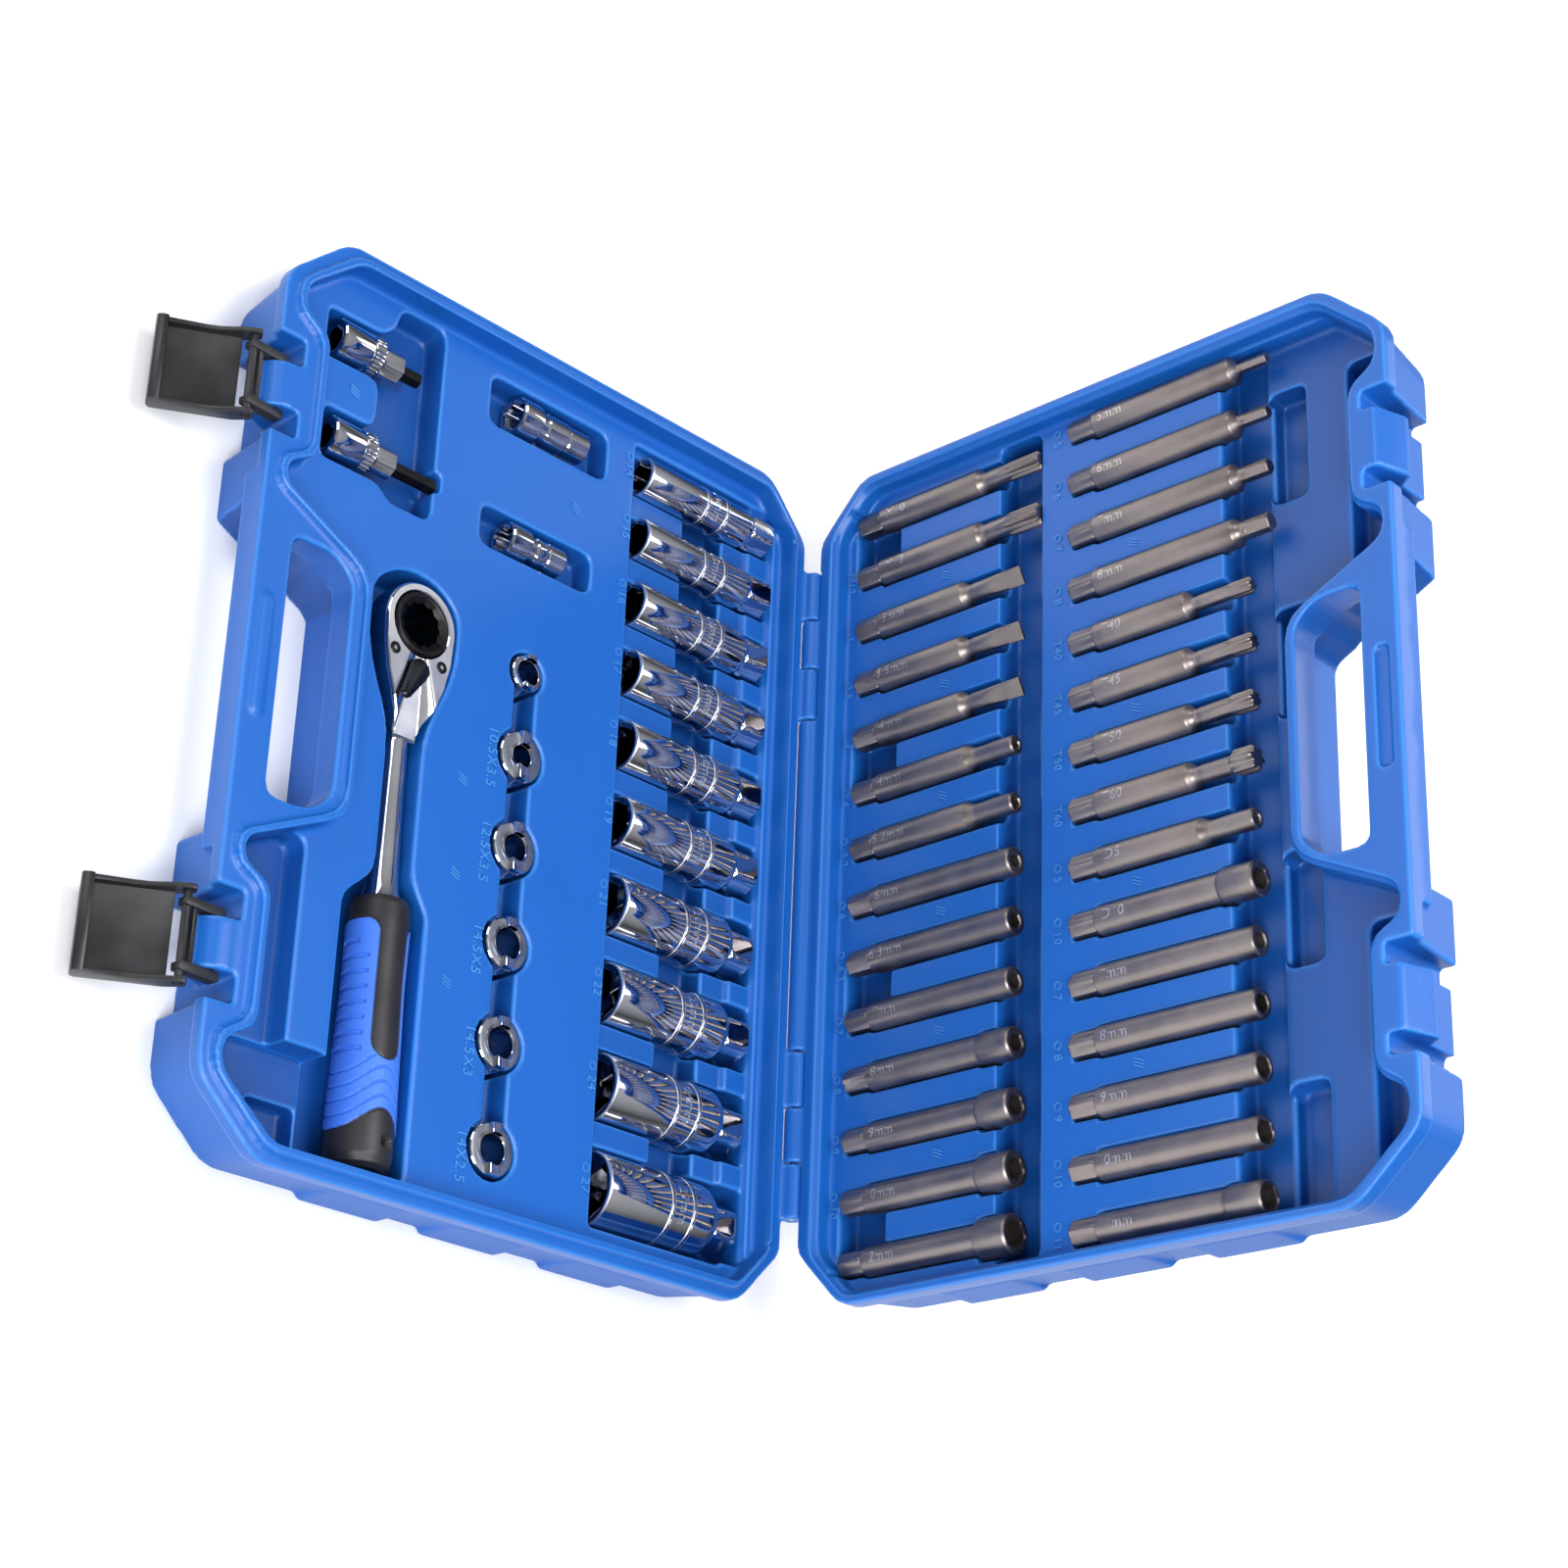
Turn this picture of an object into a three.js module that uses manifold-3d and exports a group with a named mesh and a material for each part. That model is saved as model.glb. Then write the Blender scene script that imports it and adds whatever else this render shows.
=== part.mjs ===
// Socket wrench set for strut work in a blow-moulded carry case, standing open at a right angle.
// Each half of the case is drawn in its own tray frame: x along the hinge, u away from the hinge
// towards the handle, z out of the tray, with z = 0 at the parting plane. Millimetres throughout.
import * as THREE from "three";
import { mergeVertices } from "three/addons/utils/BufferGeometryUtils.js";
import Module from "manifold-3d";

const wasm = await Module();
wasm.setup();

// Case shell
const HALF_WIDTH = 220;
const HALF_DEPTH = 44;
const FLANGE_BACK_U = 5;
const FLANGE_FRONT_U = 350.5;
const FLANGE_BOTTOM_Z = -9;
const BASE_LEDGE_Z = -1.6;
const BASE_LIP_Z = 1.2;
const LID_LEDGE_Z = -1.8;
const LID_LIP_Z = 1;
const LIP_GAP = 0.8;
const LID_RIM_WIDTH = 1.2;
const WALL_INSET = 2.5;
const WALL_DRAFT = 4;
const CENTRE_U = 178;
const BASE_DECK_Z = -11;
const LID_DECK_Z = -11;
const ABOVE = 8;
const CORNER_STEPS = 3;
const ROUND_STEPS = 12;
const SPIGOT_STEPS = 16;

// Side-wall grip bulges
const BULGE_US = [99.5, 171.5, 240.5];
const BULGE_LENGTH = 47;
const BULGE_OUT = 3.2;

// Handle
const HANDLE_INNER_U = 331.5;
const HANDLE_UNDER_Z = -17;
const HANDLE_WALL = 2.4;
const HANDLE_RIB = { halfLength: 28, u: 341.5, halfWidth: 2.6, height: 1 };

// Hinge
const BARREL_RADIUS = 5.2;
const PIN_RADIUS = 1.6;
const PIN_HOLE_RADIUS = 2;
const HINGE_HALF_LENGTH = 174;
const KNUCKLE_GAP = 0.8;
const KNUCKLE_EDGES = [174, 146, 118, 89];

// Latches
const LATCH_X = 133;
const RECESS_HALF = 25;
const RECESS_U = 336;
const BOSS_HALF = 11.6;
const BOSS_FRONT_U = 353;
const BOSS_BOTTOM_Z = -22;
const CATCH_HALF = 15.2;
const CATCH_TOP_U = 343.5;
const CATCH_FRONT_U = 349.4;
const CATCH_LEDGE_Z = -20.3;
const LINK_PIVOT = { u: 344.7, z: -9 };
const LINK_LENGTH = 15.4;
const LINK_REST = THREE.MathUtils.degToRad(4);
const LEVER_REST = THREE.MathUtils.degToRad(-33);
const LEVER_HALF = 21.4;
const LEVER_LENGTH = 42;

// Socket bay in the base: across-flats size and body diameter
const SOCKETS = [
  [14, 21], [15, 22], [16, 23.5], [17, 24.5], [18, 26],
  [19, 27.5], [21, 30.5], [22, 31], [24, 33.5], [27, 36.5],
];
const SOCKET_FIRST_X = -189;
const SOCKET_BETWEEN = 13.6;
const SOCKET_TOP_Z = -4.5;
const SOCKET_BAY_Z = -16.5;
const SOCKET_TAIL_U = 25;
const SOCKET_LENGTH = 90;
const SOCKET_HEX = 19;
const SOCKET_HEX_LENGTH = 15;
const SOCKET_THROUGH_RADIUS = 7.2;

// Strut spigots standing in the base: outer radius of each, pin pair width and pitch
const SPIGOT_U = 183;
const SPIGOTS = [
  { name: "spigot_small", x: -52, radius: 9, bore: 6.4 },
  { name: "spigot_10_5x3_5", x: -9, radius: 12.5, bore: 5.6 },
  { name: "spigot_12_5x3_5", x: 37, radius: 12.5, bore: 6.6 },
  { name: "spigot_14_5x5", x: 84, radius: 12.5, bore: 7.4 },
  { name: "spigot_14_5x3", x: 131.5, radius: 12.5, bore: 7.4 },
  { name: "spigot_14x2_5", x: 181, radius: 12.5, bore: 7.2 },
];
const SPIGOT_TOP_Z = -7;
const SPIGOT_HEIGHT = 33;
const SPIGOT_LUG_HEIGHT = 3.4;
const SPIGOT_POCKET_GAP = 1.7;

// Ratchet
const RATCHET_U = 250.5;
const RATCHET_Z = -20;
const RING_X = -51;
const HEAD_RADIUS = 20.5;
const HEAD_HALF = 12;
const RING_RADIUS = 15.6;
const RING_BORE = 19.3;
const GRIP_START_X = 82;
const GRIP_END_X = 206;
const GRIP_RADIUS = 15.5;

// Bits in the lid
const BIT_AXIS_Z = -12;
const BIT_RADIUS = 7.2;
const BIT_HEX = 11.2;
const BIT_HEX_LENGTH = 15.4;
const BIT_GROOVE_GAP = 0.8;
const INNER_BIT_U = 24.5;
const INNER_BIT_PITCH = 30.4;
const OUTER_BIT_U = 163;
const OUTER_BIT_PITCH = 29.14;

// Placing of the halves: the hinge line runs along x at this y and z
const HINGE_Y = 178;
const HINGE_Z = HALF_DEPTH;
const OPEN_ANGLE = Math.PI / 2;

const CASE_BLUE = { color: 0x1f62c8, roughness: 0.48, metalness: 0 };
const BLACK_PLASTIC = { color: 0x1c1c1f, roughness: 0.5, metalness: 0 };
const CHROME = { color: 0xd8dade, roughness: 0.08, metalness: 1 };
const SATIN_STEEL = { color: 0x7d7471, roughness: 0.42, metalness: 1 };
const BLACK_STEEL = { color: 0x26262a, roughness: 0.38, metalness: 0.9 };
const GRIP_RUBBER = { color: 0x232225, roughness: 0.7, metalness: 0 };

// ---- solids -------------------------------------------------------------------------------

function solid(geometry) {
  const bare = geometry.index ? geometry.toNonIndexed() : geometry.clone();
  bare.deleteAttribute("normal");
  bare.deleteAttribute("uv");
  const merged = mergeVertices(bare, 1e-4);
  return new wasm.Manifold(new wasm.Mesh({
    numProp: 3,
    vertProperties: merged.attributes.position.array,
    triVerts: new Uint32Array(merged.index.array),
  }));
}

function geometryOf(body) {
  const mesh = body.getMesh();
  const geometry = new THREE.BufferGeometry();
  geometry.setAttribute("position", new THREE.BufferAttribute(mesh.vertProperties, 3));
  geometry.setIndex(new THREE.BufferAttribute(mesh.triVerts, 1));
  return geometry;
}

function joined(bodies) {
  return bodies.reduce((whole, body) => whole.add(body));
}

function cutBy(body, cutters) {
  return cutters.reduce((whole, cutter) => whole.subtract(cutter), body);
}

// Closed outline through [x, y, cornerRadius] points; a radius is held under half an edge.
function outline(corners) {
  const shape = new THREE.Shape();
  corners.forEach(([x, y, wanted = 0], i) => {
    const [px, py] = corners[(i + corners.length - 1) % corners.length];
    const [nx, ny] = corners[(i + 1) % corners.length];
    const back = new THREE.Vector2(px - x, py - y);
    const on = new THREE.Vector2(nx - x, ny - y);
    const radius = Math.min(wanted, 0.46 * back.length(), 0.46 * on.length());
    back.setLength(radius);
    on.setLength(radius);
    if (i === 0) shape.moveTo(x + back.x, y + back.y);
    else shape.lineTo(x + back.x, y + back.y);
    if (radius > 0) shape.quadraticCurveTo(x, y, x + on.x, y + on.y);
  });
  shape.closePath();
  return shape;
}

function signedArea(corners) {
  return corners.reduce((sum, [x, y], i) => {
    const [nx, ny] = corners[(i + 1) % corners.length];
    return sum + (x * ny - nx * y) / 2;
  }, 0);
}

// The same corners moved inwards by a distance, or outwards when it is negative.
function inset(corners, distance) {
  const turn = Math.sign(signedArea(corners));
  return corners.map(([x, y, radius = 0], i) => {
    const [px, py] = corners[(i + corners.length - 1) % corners.length];
    const [nx, ny] = corners[(i + 1) % corners.length];
    const a = new THREE.Vector2(x - px, y - py).normalize();
    const b = new THREE.Vector2(nx - x, ny - y).normalize();
    const normal = new THREE.Vector2(-a.y - b.y, a.x + b.x).multiplyScalar(turn).normalize();
    const reach = distance / (normal.x * -a.y * turn + normal.y * a.x * turn);
    return [x + normal.x * reach, y + normal.y * reach, radius];
  });
}

function prism(corners, bottom, top) {
  const settings = { depth: top - bottom, bevelEnabled: false, curveSegments: CORNER_STEPS };
  const geometry = new THREE.ExtrudeGeometry(outline(corners), settings);
  return solid(geometry.translate(0, 0, bottom));
}

function box(x0, x1, u0, u1, bottom, top, radius = 0) {
  return prism([[x0, u0, radius], [x1, u0, radius], [x1, u1, radius], [x0, u1, radius]], bottom, top);
}

function cylinder(radius, length, sides, turn = Math.PI / sides) {
  return new THREE.CylinderGeometry(radius, radius, length, sides, 1).rotateY(turn);
}

function alongX(radius, x0, x1, u, z, sides = 16) {
  const geometry = cylinder(radius, x1 - x0, sides).rotateZ(Math.PI / 2);
  return solid(geometry.translate((x0 + x1) / 2, u, z));
}

function upright(radius, x, u, bottom, top, sides = SPIGOT_STEPS) {
  const geometry = cylinder(radius, top - bottom, sides).rotateX(Math.PI / 2);
  return solid(geometry.translate(x, u, (bottom + top) / 2));
}

// Trough along u with a round bottom, open at the top.
function trough(x, radius, u0, u1, axisZ) {
  const arcSteps = 6;
  const corners = [[x - radius, ABOVE], [x - radius, axisZ]];
  for (let i = 1; i < arcSteps; i++) {
    const angle = Math.PI * (1 + i / arcSteps);
    corners.push([x + radius * Math.cos(angle), axisZ + radius * Math.sin(angle)]);
  }
  corners.push([x + radius, axisZ], [x + radius, ABOVE]);
  const settings = { depth: u1 - u0, bevelEnabled: false };
  const geometry = new THREE.ExtrudeGeometry(outline(corners), settings);
  return solid(geometry.rotateX(Math.PI / 2).translate(0, u1, 0));
}

// Turned or faceted body along +y from rings [y, radius, sides]: sides 0 is round, 6 a hexagon.
// Without a bore both ends close on the axis; with one the last ring joins the first.
function turned(rings, segments, bored = false) {
  const points = [];
  const faces = [];
  const radiusAt = (angle, radius, sides) => {
    if (!sides) return radius;
    const wedge = (2 * Math.PI) / sides;
    const off = (((angle % wedge) + wedge) % wedge) - wedge / 2;
    return (radius * Math.cos(wedge / 2)) / Math.cos(off);
  };
  for (const [y, radius, sides] of rings) {
    for (let i = 0; i < segments; i++) {
      const angle = (2 * Math.PI * i) / segments;
      const r = radiusAt(angle, radius, sides);
      points.push(r * Math.cos(angle), y, -r * Math.sin(angle));
    }
  }
  const bands = bored ? rings.length : rings.length - 1;
  for (let k = 0; k < bands; k++) {
    const low = k * segments;
    const high = ((k + 1) % rings.length) * segments;
    for (let i = 0; i < segments; i++) {
      const j = (i + 1) % segments;
      faces.push(low + i, low + j, high + i, low + j, high + j, high + i);
    }
  }
  if (!bored) {
    const first = points.length / 3;
    points.push(0, rings[0][0], 0, 0, rings[rings.length - 1][0], 0);
    const last = (rings.length - 1) * segments;
    for (let i = 0; i < segments; i++) {
      const j = (i + 1) % segments;
      faces.push(first, j, i, first + 1, last + i, last + j);
    }
  }
  const geometry = new THREE.BufferGeometry();
  geometry.setAttribute("position", new THREE.Float32BufferAttribute(points, 3));
  geometry.setIndex(faces);
  return geometry;
}

function named(name, body, finish) {
  const geometry = body.isBufferGeometry ? body : geometryOf(body);
  const mesh = new THREE.Mesh(geometry, new THREE.MeshStandardMaterial(finish));
  mesh.name = name;
  return mesh;
}

// ---- outlines of the case -----------------------------------------------------------------

function mirroredX(corners) {
  return [...corners, ...corners.map(([x, u, r]) => [-x, u, r]).reverse()];
}

function flangeCorners() {
  return mirroredX([
    [190.5, FLANGE_BACK_U, 5],
    [HALF_WIDTH, 33, 8],
    [HALF_WIDTH, 317, 8],
    [189.5, FLANGE_FRONT_U, 8],
  ]);
}

// Line of the raised lip, which steps round the latch recesses and the handle opening.
function lipCorners() {
  return mirroredX([
    [192, 14, 6],
    [214.5, 35.4, 6],
    [214.5, 313, 7],
    [187, 344, 7],
    [171, 344, 8],
    [163, 328.5, 8],
    [104, 328.5, 8],
    [97, 344, 7],
    [83, 344, 7],
    [57, 290.5, 12],
  ]);
}

// Edge of the base tray, just inside the lip.
function trayCorners() {
  return mirroredX([
    [190.5, 15, 4],
    [211, 34.5, 5],
    [211, 310, 6],
    [186, 340, 6],
    [173, 340, 7],
    [164.5, 324.5, 7],
    [103, 324.5, 7],
    [95, 340, 6],
    [84.5, 340, 6],
    [59, 287, 12],
  ]);
}

function windowCorners() {
  return mirroredX([[62, HANDLE_INNER_U, 6], [62, 308, 8], [52, 296.3, 6]]);
}

function underHandleCorners() {
  return mirroredX([[50, 289.5, 5], [78, 345, 6], [92, 362, 0], [92, 400, 0]]);
}

// ---- case halves ---------------------------------------------------------------------------

// Side walls under the flange, narrowing towards the outer face.
function wallBlock() {
  const settings = {
    depth: HALF_DEPTH + FLANGE_BOTTOM_Z + 1,
    bevelEnabled: false,
    curveSegments: CORNER_STEPS,
  };
  const shape = outline(inset(flangeCorners(), WALL_INSET));
  const geometry = new THREE.ExtrudeGeometry(shape, settings).translate(0, 0, -HALF_DEPTH);
  const place = geometry.attributes.position;
  const sideScale = 1 - WALL_DRAFT / HALF_WIDTH;
  const depthScale = 1 - WALL_DRAFT / CENTRE_U;
  for (let i = 0; i < place.count; i++) {
    if (place.getZ(i) > -HALF_DEPTH + 1) continue;
    place.setX(i, place.getX(i) * sideScale);
    place.setY(i, CENTRE_U + (place.getY(i) - CENTRE_U) * depthScale);
  }
  return solid(geometry);
}

// One raised pad low on a side wall.
function sideBulge(side, u) {
  const half = BULGE_LENGTH / 2;
  const out = HALF_WIDTH - WALL_INSET - WALL_DRAFT + BULGE_OUT;
  const corners = [
    [side * 200, u - half - 3, 0],
    [side * out, u - half, 3],
    [side * out, u + half, 3],
    [side * 200, u + half + 3, 0],
  ];
  return prism(corners, -HALF_DEPTH + 0.6, -20);
}

function handleBar() {
  return box(-90, 90, HANDLE_INNER_U, FLANGE_FRONT_U, HANDLE_UNDER_Z, -3, 0);
}

function halfShell(ledgeZ) {
  const flange = prism(flangeCorners(), FLANGE_BOTTOM_Z, ledgeZ);
  const bulges = [-1, 1].flatMap((side) => BULGE_US.map((u) => sideBulge(side, u)));
  const body = joined([wallBlock(), flange, ...bulges]);
  const opened = cutBy(body, [
    prism(underHandleCorners(), -HALF_DEPTH - 2, HANDLE_UNDER_Z),
  ]);
  return opened.add(handleBar()).subtract(prism(windowCorners(), -HALF_DEPTH - 2, ABOVE));
}

// Barrels of one half: the edges run outwards from the middle, alternating between the halves.
function knuckles(forBase) {
  const spans = [[-KNUCKLE_EDGES[3], KNUCKLE_EDGES[3]]];
  for (const side of [-1, 1]) {
    for (let i = 0; i < 3; i++) {
      const ends = [side * KNUCKLE_EDGES[i + 1], side * KNUCKLE_EDGES[i]];
      spans.push([Math.min(...ends), Math.max(...ends)]);
    }
  }
  const mine = spans.filter(([a, b]) => {
    const outermost = Math.max(Math.abs(a), Math.abs(b));
    const index = KNUCKLE_EDGES.indexOf(outermost);
    return forBase ? index % 2 === 0 : index % 2 === 1;
  });
  return mine.flatMap(([a, b]) => [
    alongX(BARREL_RADIUS, a + KNUCKLE_GAP / 2, b - KNUCKLE_GAP / 2, 0, 0),
    box(a + KNUCKLE_GAP / 2, b - KNUCKLE_GAP / 2, 0, FLANGE_BACK_U + 6, -BARREL_RADIUS, -1.9),
  ]);
}

function hingeRelief() {
  return box(-HINGE_HALF_LENGTH, HINGE_HALF_LENGTH, -20, 5.6, -6.5, 6.5);
}

function recessCuts(innerHalf) {
  return [-1, 1].flatMap((side) => {
    const x = side * LATCH_X;
    const cuts = [[x - RECESS_HALF, x - innerHalf], [x + innerHalf, x + RECESS_HALF]];
    return cuts.map(([a, b]) => box(a, b, RECESS_U, 400, -HALF_DEPTH - 2, ABOVE, 1.5));
  });
}

// ---- base half -----------------------------------------------------------------------------

function socketPlaces() {
  let x = SOCKET_FIRST_X;
  return SOCKETS.map(([size, diameter], i) => {
    if (i > 0) x += SOCKETS[i - 1][1] / 2 + diameter / 2 + SOCKET_BETWEEN;
    return { size, radius: diameter / 2, x, z: SOCKET_TOP_Z - diameter / 2 };
  });
}

function socketBay() {
  const places = socketPlaces();
  const first = places[0];
  const last = places[places.length - 1];
  const troughs = places.map(({ x, z, radius }) => trough(x, radius + 0.8, 21.5, 121.5, z));
  const lowered = box(first.x - 14, last.x + 21, 36, 121.5, SOCKET_BAY_Z, ABOVE, 2);
  const channel = box(first.x, last.x, 53, 81, -30, ABOVE, 3);
  const tailStep = box(first.x - 14, last.x + 18, 20, 38, -14, ABOVE, 2);
  return [...troughs, lowered, channel, tailStep];
}

function adapterPockets() {
  return [box(-199, -173, 141, 218.5, -26, ABOVE, 6), box(-128.8, -108, 147, 218.5, -25, ABOVE, 6)];
}

function bitSocketPocket() {
  const corners = [
    [-208, 249, 7], [-132.5, 249, 1], [-131.5, 244.5, 2], [-122.5, 244.5, 2], [-121.5, 249, 1],
    [-105.5, 249, 6], [-105.5, 274, 6], [-112.5, 281, 4], [-112.5, 315.5, 4], [-139.2, 315.5, 4],
    [-139.2, 286, 6], [-164, 286, 6], [-164, 318.5, 4], [-189.5, 318.5, 4], [-189.5, 286, 5],
    [-196, 279, 3], [-208, 276, 6],
  ];
  return prism(corners, -26.5, ABOVE);
}

function spigotPockets() {
  const holes = SPIGOTS.map(({ x, radius }) =>
    upright(radius + SPIGOT_POCKET_GAP, x, SPIGOT_U, SPIGOT_TOP_Z - SPIGOT_HEIGHT - 0.4, ABOVE));
  const channel = box(SPIGOTS[0].x, SPIGOTS[5].x, 176.5, 189.5, -24, ABOVE);
  return [...holes, channel];
}

function ratchetPocket() {
  const floor = RATCHET_Z - GRIP_RADIUS - 0.5;
  const corners = [
    [-77, 243, 12], [-66, 226.5, 14], [-36, 226.5, 16], [0, 241.5, 12], [70, 241.5, 6],
    [86, 231.5, 3], [209.5, 231.5, 6], [209.5, 278, 4], [88, 278, 5], [73, 262, 6],
    [2, 262, 12], [-32, 277.5, 16], [-66, 277.5, 16], [-77, 262, 12],
  ];
  return prism(corners, floor, ABOVE);
}

// Empty stepped compartment beside the grip.
function compartment() {
  return [
    prism([[70, 301, 6], [174, 301, 4], [174, 350, 0], [70, 350, 0]], -24, ABOVE),
    box(162, 209, 277, 322, -28, ABOVE, 5),
    box(184, 205, 280, 306, -38, ABOVE, 2),
    box(168, 209, 318, 350, -24, ABOVE, 0),
  ];
}

function baseTray() {
  const deck = prism(trayCorners(), BASE_DECK_Z, ABOVE);
  const pockets = joined([
    deck, ...socketBay(), ...adapterPockets(), bitSocketPocket(), ...spigotPockets(),
    ratchetPocket(), ...compartment(),
  ]);
  return pockets.intersect(prism(trayCorners(), -HALF_DEPTH + 1, ABOVE));
}

// Nose that carries the latch link, with a blind pivot hole in each side.
function latchBoss(x) {
  const side = outline([
    [RECESS_U - 4, BASE_LEDGE_Z - 0.4, 0],
    [346, BASE_LEDGE_Z - 0.4, 5],
    [BOSS_FRONT_U, -9, 5],
    [BOSS_FRONT_U, BOSS_BOTTOM_Z, 2],
    [RECESS_U - 4, BOSS_BOTTOM_Z - 8, 0],
  ].reverse());
  const settings = { depth: 2 * BOSS_HALF, bevelEnabled: false, curveSegments: 2 };
  const geometry = new THREE.ExtrudeGeometry(side, settings);
  geometry.rotateX(Math.PI / 2).rotateZ(Math.PI / 2).translate(x - BOSS_HALF, 0, 0);
  const nose = solid(geometry);
  const holes = [-1, 1].map((way) => {
    const far = x + way * (BOSS_HALF + 1);
    const near = x + way * (BOSS_HALF - 4.5);
    return alongX(2.1, Math.min(far, near), Math.max(far, near), LINK_PIVOT.u, LINK_PIVOT.z, 12);
  });
  return cutBy(nose, holes);
}

function bossClearance(x) {
  return box(x - BOSS_HALF - 0.2, x + BOSS_HALF + 0.2, RECESS_U, 400, -HALF_DEPTH - 2, ABOVE);
}

function baseShell() {
  const lip = prism(lipCorners(), BASE_LEDGE_Z - 1, BASE_LIP_Z);
  const shell = halfShell(BASE_LEDGE_Z).add(lip);
  const trayed = cutBy(shell, [baseTray(), hingeRelief(), ...recessCuts(BOSS_HALF)]);
  const cleared = cutBy(trayed, [-1, 1].map((side) => bossClearance(side * LATCH_X)));
  const { halfLength, u, halfWidth, height } = HANDLE_RIB;
  const rib = box(-halfLength, halfLength, u - halfWidth, u + halfWidth, BASE_LEDGE_Z - 1,
    BASE_LEDGE_Z + height, 2.4);
  const extras = [rib, ...knuckles(true), ...[-1, 1].map((side) => latchBoss(side * LATCH_X))];
  const pinHole = alongX(PIN_HOLE_RADIUS, -HINGE_HALF_LENGTH - 4, HINGE_HALF_LENGTH + 4, 0, 0, 12);
  return joined([cleared, ...extras]).subtract(pinHole);
}

// ---- lid half ------------------------------------------------------------------------------

const INNER_BITS = [
  { name: "bit_m10", kind: "spline", tip: 4.9 },
  { name: "bit_m12", kind: "spline", tip: 5.9 },
  { name: "bit_slot_3", kind: "slot", tip: 1.5 },
  { name: "bit_slot_3_5", kind: "slot", tip: 1.75 },
  { name: "bit_slot_4", kind: "slot", tip: 2 },
  { name: "bit_hollow_4", kind: "neck", tip: 4.9, bore: 2.4 },
  { name: "bit_hollow_5_2", kind: "neck", tip: 5.2, bore: 3 },
  { name: "bit_hollow_6", kind: "plain", tip: BIT_RADIUS, bore: 3.6 },
  { name: "bit_hollow_6_3", kind: "plain", tip: BIT_RADIUS, bore: 3.8 },
  { name: "bit_hollow_7", kind: "plain", tip: BIT_RADIUS, bore: 4.1 },
  { name: "bit_hollow_8", kind: "head", tip: 8, bore: 4.7 },
  { name: "bit_hollow_9", kind: "head", tip: 8.6, bore: 5.3 },
  { name: "bit_hollow_10", kind: "head", tip: 9, bore: 5.8 },
  { name: "bit_hollow_12", kind: "head", tip: 9.6, bore: 7 },
];

const OUTER_BITS = [
  { name: "bit_hex_5", kind: "hex", tip: 2.9 },
  { name: "bit_hex_6", kind: "hex", tip: 3.45 },
  { name: "bit_hex_7", kind: "hex", tip: 4 },
  { name: "bit_hex_8", kind: "hex", tip: 4.6 },
  { name: "bit_t40", kind: "star", tip: 3.4 },
  { name: "bit_t45", kind: "star", tip: 4 },
  { name: "bit_t50", kind: "star", tip: 4.4 },
  { name: "bit_t60", kind: "star", tip: 5.8 },
  { name: "bit_d5", kind: "neck", tip: 5, bore: 2.6 },
  { name: "bit_d10", kind: "head", tip: 8.5, bore: 5.6 },
  { name: "bit_socket_7", kind: "plain", tip: BIT_RADIUS, bore: 4.1 },
  { name: "bit_socket_8", kind: "plain", tip: BIT_RADIUS, bore: 4.6 },
  { name: "bit_socket_9", kind: "plain", tip: 7.4, bore: 5.2 },
  { name: "bit_socket_10", kind: "plain", tip: 7.6, bore: 5.8 },
  { name: "bit_socket_11", kind: "head", tip: 8.2, bore: 6.4 },
];

const BIT_LENGTHS = { spline: 118, slot: 106, neck: 103, plain: 103, head: 104, hex: 115.5, star: 104 };
const BODY_ENDS = { spline: 81, slot: 71, neck: 75, plain: 103, head: 84, hex: 97, star: 69 };

function bitPlaces(bits, pitch, u) {
  const middle = (bits.length - 1) / 2;
  return bits.map((bit, i) => ({ ...bit, x: (i - middle) * pitch, u }));
}

function lidBits() {
  return [
    ...bitPlaces(INNER_BITS, INNER_BIT_PITCH, INNER_BIT_U),
    ...bitPlaces(OUTER_BITS, OUTER_BIT_PITCH, OUTER_BIT_U),
  ];
}

function bitGroove({ x, u, kind, tip }) {
  const driveRadius = BIT_HEX / 2 + BIT_GROOVE_GAP;
  const grooves = [
    trough(x, driveRadius, u - 1, u + BIT_HEX_LENGTH, BIT_AXIS_Z - 0.8),
    trough(x, BIT_RADIUS + BIT_GROOVE_GAP, u + BIT_HEX_LENGTH - 2, u + 98, BIT_AXIS_Z),
  ];
  if (kind === "head") grooves.push(trough(x, tip + 1, u + 82.5, u + 106, BIT_AXIS_Z));
  return grooves;
}

// Finger wells that join neighbouring grooves near their drive ends.
function fingerWells() {
  const middle = (INNER_BITS.length - 1) / 2;
  return [0, 4, 8, 12].map((i) => {
    const x = (i - middle) * INNER_BIT_PITCH;
    return box(x, x + INNER_BIT_PITCH, 21, 50.5, -24, ABOVE, 2);
  });
}

const LID_WELLS = [[-208, -130], [-75, -20], [45, 100], [153, 212]];

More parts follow.
